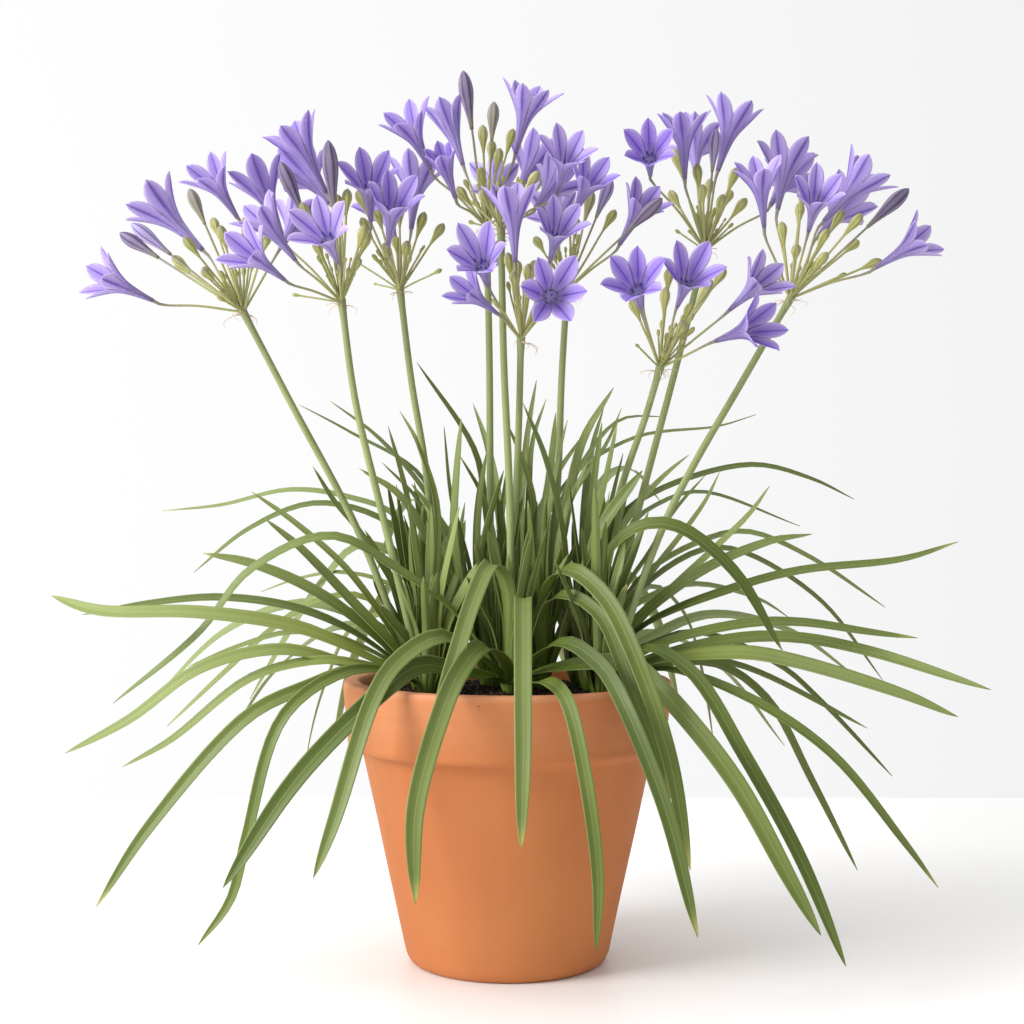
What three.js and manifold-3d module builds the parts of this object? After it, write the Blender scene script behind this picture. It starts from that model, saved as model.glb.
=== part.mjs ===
// Potted triteleia: a clay pot of potting soil, ten flowering clumps of grassy leaves,
// and their umbels of violet funnel flowers. Millimetres, +Z up, origin at the centre of
// the pot's foot, front of the pot towards -Y.

import * as THREE from 'three';
import { mergeVertices } from 'three/addons/utils/BufferGeometryUtils.js';
import Module from 'manifold-3d';

const wasm = await Module();
wasm.setup();

const FRONT = new THREE.Vector3(0, -1, 0);
const UP = new THREE.Vector3(0, 0, 1);

// Driving sizes

const POT_HEIGHT = 145;
const RIM_RADIUS = 85;
const RIM_FOOT_RADIUS = 82.2;
const RIM_DEPTH = 33;
const BODY_TOP_RADIUS = 75.3;
const FOOT_RADIUS = 52;
const WALL = 6.5;
const RIM_WALL = 9;
const FLOOR = 8;
const DRAIN_RADIUS = 9;
const POT_SIDES = 34;
const SOIL_SIDES = 24;

const SOIL_TOP = 137;
const SOIL_CROWN = 3;
const FIT_GAP = 0.3;

const CORM_BOTTOM = 96;
const CORM_RADIUS = 6.5;
const NECK_TOP = 147;
const NECK_SIDES = 6;
const SCAPE_RADIUS = 2.3;
const HUB_RADIUS = 3.2;
const PEDICEL_RADIUS = 0.7;
const BUD_RADIUS = 2.6;
const KEEL = 1.1;
const CHANNEL = 0.16;
const TEPAL_REACH = 0.40;
const TEPAL_WIDTH = 0.115;

// The viewing point that the spread of the plant was measured from. A place is written as
// [across, depth, up] with across and up as they show on the plane through the pot's axis,
// and is opened out along the line of sight to its true depth.

const VIEW_ACROSS = 2.3;
const VIEW_BACK = 880;
const VIEW_UP = 237.5;

function place([across, depth, up]) {
  const grow = 1 + depth / VIEW_BACK;
  return new THREE.Vector3(
    VIEW_ACROSS + (across - VIEW_ACROSS) * grow,
    depth,
    VIEW_UP + (up - VIEW_UP) * grow,
  );
}

// Clumps: where each stands in the soil, the bends of its scape, its hub, and what the hub
// carries. A flower is its foot, the centre of its mouth, its turn in degrees and, where it
// is half shut, how far it opens. A bud is its tip and its length.

const CLUMPS = {
  a: {
    root: [-46, 8],
    scape: [[-76, 5, 218], [-113, -2, 289]],
    hub: [-137, -6, 335],
    flowers: [
      [[-184, -14, 341], [-216, -34, 356], 10],
      [[-158, 8, 367], [-188, 14, 396], 0, 0.8],
      [[-140, -12, 384], [-158, -32, 412], 20],
      [[-118, 32, 368], [-106, 58, 388], 0],
    ],
    buds: [
      [[-201, 16, 376], 27], [[-195, -4, 381], 26], [[-165, -8, 399], 20],
      [[-149, -34, 380], 13], [[-168, -26, 374], 13], [[-153, 14, 384], 13],
      [[-174, -2, 364], 13], [[-158, -42, 358], 12], [[-172, 22, 360], 12],
      [[-136, 30, 384], 13], [[-124, -34, 376], 12],
    ],
  },
  b: {
    root: [-41, -20],
    scape: [[-62, -21, 218], [-79, -22, 289]],
    hub: [-86, -22, 340],
    flowers: [
      [[-94, -32, 397], [-115, -40, 434], 0],
      [[-92, -4, 391], [-110, 20, 413], 0],
      [[-88, -58, 361], [-99, -91, 384], 10],
      [[-116, -54, 352], [-141, -80, 371], 0],
      [[-110, -34, 362], [-133, -48, 391], 15],
      [[-117, -12, 375], [-132, -6, 411], 0],
      [[-71, -4, 382], [-72, -34, 412], 20],
    ],
    buds: [
      [[-93, -54, 424], 36], [[-118, -24, 413], 30], [[-107, -40, 392], 13],
      [[-83, -42, 399], 13], [[-100, -48, 372], 12], [[-74, -44, 380], 13],
      [[-72, -26, 376], 12], [[-86, 12, 392], 13], [[-104, 10, 378], 13],
      [[-88, -26, 396], 12],
    ],
  },
  c: {
    root: [-34.2, 29.5],
    scape: [[-42, 22, 250], [-50, 16, 300]],
    hub: [-55.7, 11.6, 346.3],
    flowers: [
      [[-62, -24, 370], [-58, -52, 400], 12],
      [[-50, 2, 378], [-47, 12, 414], 0],
      [[-58, 46, 372], [-66, 72, 396], 0],
    ],
    buds: [
      [[-78, 22, 398], 14], [[-76, 8, 384], 12], [[-68, 34, 388], 13],
      [[-64, -4, 371], 11], [[-58, 34, 374], 12], [[-52, -10, 372], 12],
      [[-43, 6, 387], 14], [[-33, 14, 381], 13], [[-56, 24, 390], 12],
    ],
  },
  d: {
    root: [-9, 2],
    scape: [[-9, 1, 250], [-9.5, 0, 320]],
    hub: [-11, -2, 379],
    flowers: [
      [[-40, -12, 409], [-55, -30, 440], 20],
      [[-23, 10, 411], [-34, 18, 444], 0, 0.5],
      [[-27, -30, 394], [-36, -48, 421], 25, 0.55],
      [[4, -6, 417], [13, -16, 454], 0],
      [[-8, 34, 390], [-6, 64, 406], 0],
    ],
    buds: [
      [[-23, -8, 460], 30], [[-7, -8, 444], 20], [[-13, -18, 432], 14],
      [[-8, 12, 424], 13], [[-4, -20, 420], 12], [[3, 8, 430], 14],
      [[-14, -32, 410], 13], [[-26, 2, 400], 12],
    ],
  },
  e: {
    root: [2, -16],
    scape: [[1, -18, 240], [-2, -21, 310]],
    hub: [-3.4, -25, 377],
    flowers: [
      [[26, -40, 397], [32, -66, 424], 16],
      [[14, -14, 388], [28, 8, 407], 0],
      [[5, 14, 398], [17, 42, 417], 0],
    ],
    buds: [
      [[16, -48, 408], 14], [[-14, -46, 398], 13], [[17, -26, 404], 12],
      [[8, -14, 404], 13],
    ],
  },
  f: {
    root: [4, 18],
    scape: [[4, 8, 220], [6, -10, 280]],
    hub: [7, -20, 320.5],
    flowers: [
      [[4, -44, 361], [2, -53, 403], 0],
      [[22, -32, 361], [28, -60, 386], 10],
      [[-10, -52, 349], [-17, -86, 370], 33],
      [[-5, -40, 334], [-26, -58, 350], 0],
      [[20, -56, 340], [25, -95, 347], 27],
      [[-10, 14, 346], [-14, 40, 368], 0],
    ],
    buds: [
      [[0, -40, 366], 13], [[5, -12, 362], 12], [[11, -52, 360], 13],
      [[14, -10, 362], 12], [[20, 2, 350], 12], [[3, -58, 356], 12],
    ],
  },
  g: {
    root: [38, 24],
    scape: [[57, 4, 237], [72, -18, 282]],
    hub: [79, -30, 306],
    flowers: [
      [[69, -58, 337], [65, -92, 357], -8],
      [[88, -54, 338], [97, -85, 361], 24],
      [[115, -36, 336], [138, -60, 357], 0],
      [[108, -54, 320], [136, -80, 330], 20],
      [[70, 2, 338], [66, 30, 356], 0],
    ],
    buds: [
      [[82, -36, 348], 14], [[106, -48, 352], 17], [[113, -26, 358], 13],
      [[96, -16, 340], 13], [[92, -58, 330], 12], [[84, -16, 358], 13],
      [[64, -28, 342], 12],
    ],
  },
  h: {
    root: [43, -2],
    scape: [[69, 5, 237], [87, 10, 305]],
    hub: [102.5, 15, 367],
    flowers: [
      [[74, 2, 406], [73, -31, 424], 0],
      [[92, -8, 404], [91, -16, 440], 0],
      [[98, 34, 406], [96, 60, 427], 0],
      [[109, 6, 408], [120, 4, 445], 0],
      [[136, 32, 390], [148, 56, 410], 0],
    ],
    buds: [
      [[86, 14, 420], 16], [[98, -6, 412], 14], [[101, -18, 401], 12],
      [[105, 32, 404], 12], [[112, -8, 396], 13], [[119, 14, 410], 14],
      [[116, 38, 398], 12], [[124, 8, 394], 13], [[108, -6, 430], 22],
      [[84, 34, 398], 13],
    ],
  },
  i: {
    root: [47, -26],
    scape: [[83, -24, 229], [124, -21, 303]],
    hub: [146.6, -18, 342],
    flowers: [
      [[133, -36, 379], [130, -50, 414], 20],
      [[140, 4, 388], [145, 18, 421], 0],
      [[156, -44, 377], [162, -72, 402], 0],
      [[164, -24, 382], [191, -29, 412], 15],
      [[161, 6, 374], [179, 30, 395], 0],
      [[191, -26, 358], [220, -42, 376], 5],
    ],
    buds: [
      [[154, -22, 404], 17], [[152, -2, 392], 13], [[184, -38, 386], 14],
      [[174, -12, 388], 14], [[166, -54, 378], 13], [[166, -36, 366], 12],
      [[150, -50, 370], 12], [[142, -22, 382], 12], [[194, -12, 362], 12],
      [[208, -8, 399], 30], [[182, 14, 372], 13],
    ],
  },
  j: {
    root: [16.5, 2.5],
    scape: [[26, 11, 247], [28, 16, 300]],
    hub: [30.8, 20, 346.5],
    flowers: [
      [[34, 8, 385], [46, -16, 411], 10],
      [[58, 2, 370], [74, -18, 398], 0],
      [[26, 52, 372], [24, 80, 392], 0],
    ],
    buds: [
      [[80, -34, 394], 28], [[54, 16, 404], 22], [[56, 34, 388], 14],
      [[36, 34, 384], 13], [[24, 2, 372], 12], [[44, 30, 398], 18],
      [[14, 40, 374], 12],
    ],
  },
};

// Leaves: the clump each grows from, its width, and the places its blade passes, from the
// crown to the tip.

const LEAVES = [
  // Left side
  ['b', 10, [-71, -30, 155], [-108, -36, 171], [-160, -42, 179], [-211, -34, 180], [-237, -14, 188]],
  ['b', 8, [-82, -38, 152], [-118, -48, 160], [-160, -54, 150], [-196, -58, 124], [-230, -60, 106]],
  ['b', 8, [-77, -46, 150], [-103, -56, 141], [-134, -62, 126], [-186, -68, 68], [-214, -70, 26]],
  ['b', 6, [-78, -42, 153], [-102, -48, 154], [-134, -52, 145], [-175, -56, 113], [-200, -58, 99]],
  ['b', 7, [-82, -54, 149], [-116, -68, 126], [-136, -74, 61], [-144, -76, 30], [-161, -78, 6]],
  ['b', 8, [-58, -20, 160], [-82, -18, 186], [-108, -16, 213], [-126, -14, 228]],
  ['a', 7, [-77, 0, 167], [-108, -2, 181], [-149, -4, 187], [-186, -6, 184], [-221, -8, 178]],
  ['a', 8, [-77, -4, 174], [-103, -8, 192], [-134, -12, 205], [-158, -14, 210]],
  ['a', 5, [-58, 4, 165], [-82, 6, 200], [-108, 8, 224], [-133, 10, 242]],
  ['a', 5, [-56, 12, 186], [-79, 14, 224], [-90, 15, 237], [-101, 16, 255]],
  ['a', 5, [-87, 4, 166], [-113, 2, 169], [-139, 0, 162], [-166, -2, 151]],
  ['a', 6, [-72, 14, 186], [-97, 14, 186], [-123, 12, 170], [-144, 10, 151], [-177, 8, 120]],
  ['c', 5, [-56, 42, 227], [-82, 46, 239], [-113, 50, 243], [-149, 53, 235], [-179, 54, 232]],
  ['c', 5, [-45, 36, 206], [-64, 38, 227], [-100, 38, 236], [-134, 36, 223], [-163, 34, 200]],
  ['c', 8, [-50, 38, 203], [-77, 42, 214], [-97, 44, 194], [-116, 46, 165], [-134, 48, 134]],
  ['c', 4, [-56, 36, 190], [-84, 40, 200], [-108, 42, 197], [-128, 44, 190]],
  ['c', 7, [-62, 44, 178], [-82, 50, 170], [-94, 53, 145], [-101, 55, 123], [-105, 56, 102]],
  ['e', 7, [-27, -28, 179], [-56, -30, 201], [-92, -31, 219], [-134, -30, 201], [-160, -29, 169],
    [-205, -28, 132]],
  // Over the front of the rim
  ['e', 11, [-22, -44, 148], [-45, -58, 152], [-63, -73, 140], [-108, -90, 95], [-148, -106, 36]],
  ['e', 10, [-19, -46, 160], [-35, -58, 167], [-56, -68, 155], [-69, -78, 136], [-90, -100, 71],
    [-101, -106, 41]],
  ['e', 10, [0, -24, 192], [-8, -36, 205], [-17, -52, 188], [-26, -72, 160], [-34, -96, 133],
    [-40, -110, 110]],
  ['e', 11, [-1, -34, 152], [-12, -56, 162], [-24, -84, 150], [-34, -106, 128], [-48, -130, 76],
    [-48, -140, 27]],
  ['e', 10, [6, -26, 172], [8, -46, 187], [8, -70, 180], [8, -98, 146], [8, -122, 100], [7, -134, 56]],
  ['e', 8, [11, -44, 142], [22, -80, 143], [31, -102, 133], [41, -124, 90], [47, -134, 40], [46, -138, 3]],
  ['e', 9, [19, -36, 160], [30, -48, 164], [48, -66, 152], [60, -84, 132], [82, -106, 77], [99, -118, 10]],
  ['e', 11, [35, -34, 152], [64, -46, 152], [79, -60, 140], [118, -84, 92], [147, -94, 40], [163, -98, 11]],
  ['j', 10, [20, -16, 190], [31, -32, 202], [50, -48, 188], [68, -70, 152], [84, -84, 104], [95, -86, 45]],
  ['j', 8, [17, -12, 178], [29, -26, 189], [47, -38, 179], [61, -62, 148], [74, -76, 116], [85, -78, 82]],
  ['i', 8, [71, -42, 161], [95, -56, 149], [123, -70, 105], [152, -80, 52], [176, -84, -5]],
  // Right side
  ['i', 6, [79, -36, 150], [121, -50, 137], [167, -60, 107], [206, -66, 60], [224, -68, 36]],
  ['i', 11, [74, -34, 153], [121, -44, 158], [147, -46, 154], [204, -50, 137], [234, -52, 125]],
  ['i', 8, [74, -32, 160], [121, -36, 173], [152, -37, 174], [188, -38, 169], [213, -39, 166]],
  ['i', 9, [54, -32, 212], [72, -38, 225], [90, -42, 223], [118, -46, 200], [143, -49, 159]],
  ['h', 6, [79, -14, 152], [110, -19, 152], [135, -22, 134], [158, -26, 92], [182, -30, 45]],
  ['h', 7, [69, -8, 154], [121, -18, 166], [152, -22, 166], [188, -32, 159], [251, -63, 139]],
  ['h', 5, [74, -2, 152], [110, -2, 154], [131, -2, 148], [187, -2, 119]],
  ['h', 7, [69, -8, 171], [121, -12, 193], [152, -14, 201], [205, -18, 207], [234, -20, 216]],
  ['h', 10, [58, -6, 165], [95, -8, 197], [136, -10, 216], [158, -12, 220]],
  ['h', 6, [69, 0, 175], [108, 2, 213], [126, 2, 231], [136, 2, 245]],
  ['h', 5, [53, 4, 170], [71, 6, 195], [102, 8, 236], [110, 8, 252]],
  ['g', 5, [74, 20, 163], [98, 25, 169], [141, 26, 152], [162, 26, 134], [200, 26, 94]],
  ['g', 5, [69, 20, 197], [108, 16, 219], [126, 16, 221], [157, 14, 208], [196, 14, 182]],
  ['g', 5, [69, 26, 191], [102, 28, 212], [121, 28, 211], [162, 28, 186], [195, 28, 144]],
  ['g', 5, [58, 28, 227], [77, 30, 242], [126, 30, 256], [157, 30, 249], [180, 30, 238]],
  ['g', 4, [64, 36, 224], [79, 40, 236], [100, 42, 242], [152, 46, 224]],
  ['g', 3.5, [60, 34, 190], [74, 36, 211], [85, 37, 230], [103, 38, 251]],
  ['g', 7, [60, 43, 183], [76, 48, 193], [92, 52, 179], [101, 54, 150], [107, 56, 113]],
  ['g', 5, [60, 38, 178], [82, 42, 191], [100, 44, 194], [131, 46, 186], [147, 47, 176]],
  ['j', 6, [38, 15, 190], [48, 21, 206], [69, 22, 237], [82, 22, 251], [94, 22, 261]],
  ['f', 4, [14, 26, 210], [32, 34, 248], [66, 36, 270], [110, 38, 276], [129, 38, 282]],
  ['f', 4, [20, 34, 215], [36, 44, 252], [58, 50, 279], [82, 54, 281]],
  // Upright in the middle
  ['d', 5, [-9, 8, 206], [-12, 10, 237], [-17, 12, 263], [-47, 16, 309]],
  ['c', 5, [-30, 32, 206], [-40, 34, 237], [-66, 38, 269], [-92, 40, 289]],
  ['c', 4, [-34, 36, 215], [-45, 40, 250], [-82, 46, 273], [-108, 48, 287]],
  ['c', 4, [-36, 30, 205], [-45, 29, 235], [-65, 28, 257]],
  ['a', 5, [-43, 10, 186], [-48, 10, 217], [-53, 10, 243], [-62, 10, 276]],
  ['a', 6, [-52, 16, 165], [-60, 18, 195], [-74, 20, 222]],
  ['b', 4, [-37, -15, 200], [-37, -12, 237], [-48, -10, 272]],
  ['d', 4, [-20, -2, 190], [-25, -4, 217], [-30, -5, 243], [-33, -6, 276]],
  ['d', 7, [-22, -9, 180], [-28, -13, 220], [-27, -14, 248], [-24, -14, 280]],
  ['d', 5, [-16, -8, 205], [-15, -9, 237], [-11, -9, 262]],
  ['d', 4, [-6, 7, 205], [-12, 8, 237], [-25, 10, 261]],
  ['d', 6, [-14, -7, 185], [-12, -8, 217], [-2, -8, 253]],
  ['d', 8, [-16, -4, 165], [-40, -6, 214], [-56, -7, 240], [-77, -8, 254]],
  ['d', 6, [-20, 6, 190], [-32, 10, 222], [-50, 12, 246]],
  ['f', 4, [-4, 24, 215], [-1, 26, 245], [2, 27, 263]],
  ['f', 4, [14, 22, 230], [9, 24, 255], [-1, 26, 279]],
  ['f', 5, [6, 26, 215], [10, 29, 269], [15, 30, 300]],
  ['f', 4, [11, 30, 240], [13, 34, 268], [20, 36, 290]],
  ['f', 5, [12, 26, 215], [24, 32, 248], [43, 38, 276]],
  ['f', 4, [20, 28, 205], [34, 31, 240], [52, 34, 268], [59, 36, 285]],
  ['j', 6, [26, -4, 180], [30, -8, 208], [20, -7, 258], [8, 2, 288]],
  ['j', 7, [17, 4, 190], [17, 5, 217], [22, 5, 250], [25, 5, 283]],
  ['j', 5, [20, -2, 215], [26, 0, 258], [31, 2, 279]],
  ['j', 7, [22, 10, 185], [28, 14, 217], [39, 18, 268], [55, 20, 296]],
  ['j', 9, [28, -8, 165], [35, -14, 191], [51, -20, 227], [70, -22, 253]],
  ['j', 6, [24, -4, 200], [30, -4, 230], [42, -6, 258]],
  ['h', 5, [41, 3, 200], [44, 4, 240], [49, 4, 278]],
  ['h', 6, [40, -8, 201], [47, -10, 230], [57, -10, 278]],
  ['g', 4, [46, 30, 195], [54, 29, 237], [60, 28, 262]],
  // At the back
  ['c', 9, [-44, 60, 186], [-56, 86, 198], [-78, 116, 160], [-92, 137, 106]],
  ['c', 8, [-39, 57, 214], [-46, 82, 238], [-56, 108, 232], [-68, 134, 200]],
  ['c', 9, [-58, 54, 164], [-86, 80, 172], [-120, 104, 150], [-146, 120, 112]],
  ['c', 8, [-68, 50, 172], [-104, 62, 184], [-146, 75, 170], [-186, 86, 132]],
  ['c', 5, [-38, 46, 235], [-46, 58, 266], [-56, 68, 284]],
  ['f', 10, [0, 54, 178], [-6, 86, 194], [-14, 118, 158], [-20, 140, 80]],
  ['f', 8, [8, 50, 212], [14, 80, 236], [22, 106, 226], [30, 132, 192]],
  ['f', 6, [-4, 42, 230], [-10, 60, 264], [-18, 74, 288]],
  ['f', 9, [14, 58, 164], [24, 90, 168], [36, 116, 136], [44, 136, 62]],
  ['g', 9, [46, 56, 184], [58, 84, 202], [76, 114, 178], [90, 138, 128]],
  ['g', 9, [52, 52, 160], [80, 74, 168], [112, 96, 150], [144, 114, 110]],
  ['g', 7, [42, 48, 220], [50, 70, 248], [64, 92, 254], [80, 116, 236]],
  ['g', 5, [40, 38, 235], [44, 52, 265], [50, 64, 286]],
  ['g', 8, [70, 52, 164], [104, 66, 178], [146, 80, 170], [186, 92, 142]],
];

// Meshes from rings of points. Every ring has the same count, the rings run from the foot
// to the tip, and each end is closed by a fan or by a single point.

function loft(rings) {
  const positions = [];
  const starts = [];
  for (const ring of rings) {
    starts.push(positions.length / 3);
    ring.forEach((point) => positions.push(point.x, point.y, point.z));
  }
  const indices = [];
  for (let level = 0; level + 1 < rings.length; level += 1) {
    const low = rings[level].length;
    const high = rings[level + 1].length;
    const sides = Math.max(low, high);
    for (let side = 0; side < sides; side += 1) {
      const next = (side + 1) % sides;
      const a = starts[level] + (side % low);
      const b = starts[level] + (next % low);
      const c = starts[level + 1] + (next % high);
      const d = starts[level + 1] + (side % high);
      if (low > 1) indices.push(a, b, c);
      if (high > 1) indices.push(a, c, d);
    }
  }
  const last = rings.length - 1;
  for (let side = 1; side + 1 < rings[0].length; side += 1) {
    indices.push(starts[0], starts[0] + side + 1, starts[0] + side);
  }
  for (let side = 1; side + 1 < rings[last].length; side += 1) {
    indices.push(starts[last], starts[last] + side, starts[last] + side + 1);
  }
  return shell(positions, indices);
}

function shell(positions, indices) {
  const geometry = new THREE.BufferGeometry();
  geometry.setAttribute('position', new THREE.Float32BufferAttribute(positions, 3));
  geometry.setIndex(indices);
  return geometry;
}

function solid(geometry) {
  const bare = geometry.clone();
  bare.deleteAttribute('normal');
  bare.deleteAttribute('uv');
  const merged = mergeVertices(bare, 1e-4);
  return new wasm.Manifold(new wasm.Mesh({
    numProp: 3,
    vertProperties: new Float32Array(merged.attributes.position.array),
    triVerts: new Uint32Array(merged.index.array),
  }));
}

function geometryOf(body) {
  const mesh = body.getMesh();
  return shell(Array.from(mesh.vertProperties), Array.from(mesh.triVerts));
}

// Joins closed solids into one, without the sealed bubbles left where blades meet

function fuse(geometries) {
  const whole = geometries.map(solid).reduce((body, piece) => body.add(piece));
  return whole.decompose().reduce((most, piece) => (piece.volume() > most.volume() ? piece : most));
}

// Cross axes of a stalk at each of its points

function crossAxes(direction, lean) {
  const across = new THREE.Vector3().crossVectors(direction, lean).normalize();
  const over = new THREE.Vector3().crossVectors(across, direction).normalize();
  return [across, over];
}

function roundRing(centre, direction, radius, sides) {
  const lean = Math.abs(direction.z) > 0.9 ? FRONT : UP;
  const [across, over] = crossAxes(direction, lean);
  return Array.from({ length: sides }, (_, side) => {
    const turn = (2 * Math.PI * side) / sides;
    return centre.clone()
      .addScaledVector(across, radius * Math.cos(turn))
      .addScaledVector(over, -radius * Math.sin(turn));
  });
}

// A leaf blade: an arched, keeled strip that widens from its sheath and runs out to a point

const LONG_BLADE = {
  steps: [0, 0.12, 0.28, 0.46, 0.67, 0.87, 1],
  widths: [0.5, 0.72, 0.94, 1, 0.98, 0.76, 0],
};
const SHORT_BLADE = {
  steps: [0, 0.2, 0.5, 0.82, 1],
  widths: [0.5, 0.85, 1, 0.8, 0],
};
const SHORT_LENGTH = 175;

// How far a blade turns its upper face from the sky to the front of the pot: little where it
// arches sideways, and nearly all the way where it comes forward over the rim

const SIDE_FACING = 0.42;
const FRONT_FACING = 0.85;
const GENTLE_ROUNDS = 6;

function bladePath(root, points) {
  const far = place(points[points.length - 1]);
  const heading = Math.atan2(far.y - root.y, far.x - root.x);
  const outward = new THREE.Vector3(Math.cos(heading), Math.sin(heading), 0);
  const foot = new THREE.Vector3(root.x, root.y, NECK_TOP - 9).addScaledVector(outward, 1.5);
  const collar = new THREE.Vector3(root.x, root.y, NECK_TOP).addScaledVector(outward, 4);
  return new THREE.CatmullRomCurve3([foot, collar, ...points.map(place)], false, 'centripetal');
}

function bladeSide(tangent, level, facing) {
  const side = new THREE.Vector3().crossVectors(tangent, UP);
  if (side.dot(level) < 0) side.negate();
  side.addScaledVector(level, 0.6).normalize();
  side.addScaledVector(tangent, -side.dot(tangent)).normalize();
  const shown = new THREE.Vector3().crossVectors(tangent, FRONT);
  const clear = THREE.MathUtils.smoothstep(shown.length(), 0.1, 0.4);
  shown.normalize();
  const agree = THREE.MathUtils.smoothstep(shown.dot(side), -0.7, -0.1);
  return side.lerp(shown, facing * clear * agree).normalize();
}

// A blade turns gently along its length, so that its upper and lower faces never cross

function gentleTurns(sides) {
  let turned = sides;
  for (let round = 0; round < GENTLE_ROUNDS; round += 1) {
    turned = turned.map((side, station) => side.clone().multiplyScalar(2)
      .add(turned[Math.max(0, station - 1)])
      .add(turned[Math.min(turned.length - 1, station + 1)])
      .normalize());
  }
  return turned;
}

function blade(root, width, points) {
  const path = bladePath(root, points);
  const span = path.getPoint(1).sub(path.getPoint(0)).setZ(0).normalize();
  const level = new THREE.Vector3().crossVectors(span, UP).normalize();
  const forward = THREE.MathUtils.smoothstep(-span.y, 0.1, 0.5);
  const facing = THREE.MathUtils.lerp(SIDE_FACING, FRONT_FACING, forward);
  const form = path.getLength() < SHORT_LENGTH ? SHORT_BLADE : LONG_BLADE;
  const sides = gentleTurns(form.steps.map((step) => (
    bladeSide(path.getTangentAt(step), level, facing * Math.min(1, 3 * step))
  )));
  const rings = form.steps.map((step, station) => {
    const centre = path.getPointAt(step);
    const tangent = path.getTangentAt(step);
    if (form.widths[station] === 0) return [centre];
    const side = sides[station].addScaledVector(tangent, -sides[station].dot(tangent)).normalize();
    const face = new THREE.Vector3().crossVectors(side, tangent).normalize();
    const half = (width * form.widths[station]) / 2;
    const depth = KEEL * Math.min(1, 0.5 + width / 18);
    return [
      centre.clone().addScaledVector(side, -half).addScaledVector(face, CHANNEL * half),
      centre.clone().addScaledVector(side, half).addScaledVector(face, CHANNEL * half),
      centre.clone().addScaledVector(face, -depth),
    ];
  });
  return loft(rings);
}

// A scape: the smooth leafless stem from the crown to the hub of its umbel

function scapePath(clump) {
  const [x, y] = clump.root;
  const foot = new THREE.Vector3(x, y, NECK_TOP - 12);
  return new THREE.CatmullRomCurve3([foot, ...clump.scape.map(place), place(clump.hub)]);
}

function scape(clump) {
  const path = scapePath(clump);
  const steps = 4;
  const rings = [];
  for (let step = 0; step <= steps; step += 1) {
    const along = step / steps;
    rings.push(roundRing(path.getPointAt(along), path.getTangentAt(along), SCAPE_RADIUS - 0.4 * along, 5));
  }
  return loft(rings);
}

function hub(clump) {
  const centre = place(clump.hub);
  const lean = scapePath(clump).getTangentAt(1);
  const heights = [-HUB_RADIUS, 0, HUB_RADIUS];
  const radii = [SCAPE_RADIUS - 0.6, HUB_RADIUS, HUB_RADIUS * 0.6];
  return loft(heights.map((height, level) => (
    roundRing(centre.clone().addScaledVector(lean, height), lean, radii[level], 6)
  )));
}

// The corm in its coat and the sheathed neck above it, which fill a plain hole in the soil

function neck(clump) {
  const [x, y] = clump.root;
  const heights = [CORM_BOTTOM, CORM_BOTTOM + 6, SOIL_TOP - 8, NECK_TOP - 5, NECK_TOP];
  const radii = [CORM_RADIUS * 0.55, CORM_RADIUS, CORM_RADIUS * 0.9, CORM_RADIUS * 0.95, CORM_RADIUS * 0.7];
  return loft(heights.map((height, level) => (
    roundRing(new THREE.Vector3(x, y, height), UP, radii[level], NECK_SIDES)
  )));
}

// Buds on their stalks, and the stalks of the open flowers

function stalked(from, tip, length) {
  const direction = tip.clone().sub(from).normalize();
  const base = tip.clone().addScaledVector(direction, -length);
  const swell = BUD_RADIUS * (0.72 + length / 60);
  const at = (share) => base.clone().addScaledVector(direction, share * length);
  return loft([
    roundRing(from, direction, PEDICEL_RADIUS, 4),
    roundRing(base, direction, PEDICEL_RADIUS, 4),
    ...(length > 18 ? [roundRing(at(0.4), direction, swell * 0.9, 4)] : []),
    roundRing(at(0.68), direction, swell, 4),
    [tip],
  ]);
}

function pedicel(from, foot, mouth) {
  const along = mouth.clone().sub(foot).normalize();
  const end = foot.clone().addScaledVector(along, -FIT_GAP);
  const knee = foot.clone().addScaledVector(along, -4);
  const first = knee.clone().sub(from).normalize();
  return loft([
    roundRing(from, first, PEDICEL_RADIUS, 3),
    roundRing(knee, first.clone().add(along).normalize(), PEDICEL_RADIUS, 3),
    roundRing(end, along, PEDICEL_RADIUS + 0.2, 3),
  ]);
}

// A funnel flower: a narrow tube that opens into six pointed tepals in two whorls. Each place
// is [along the axis, out from it] in shares of the flower's length.

const TUBE_FOOT = [0, 0.026];
const TUBE_SIDE = [0.4, 0.098];
const LOBE_NOTCH = [0.56, 0.118];
const LOBE_EDGE = [0.76, 0.27];
const LOBE_BACK = [0.72, 0.252];
const LOBE_FRONT = [0.76, 0.228];
const LOBE_TIP = [0.98, TEPAL_REACH];
const THROAT = [0.24, 0];
const INNER_LOBE = { broad: 0.86, lift: 0.03 };

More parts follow.
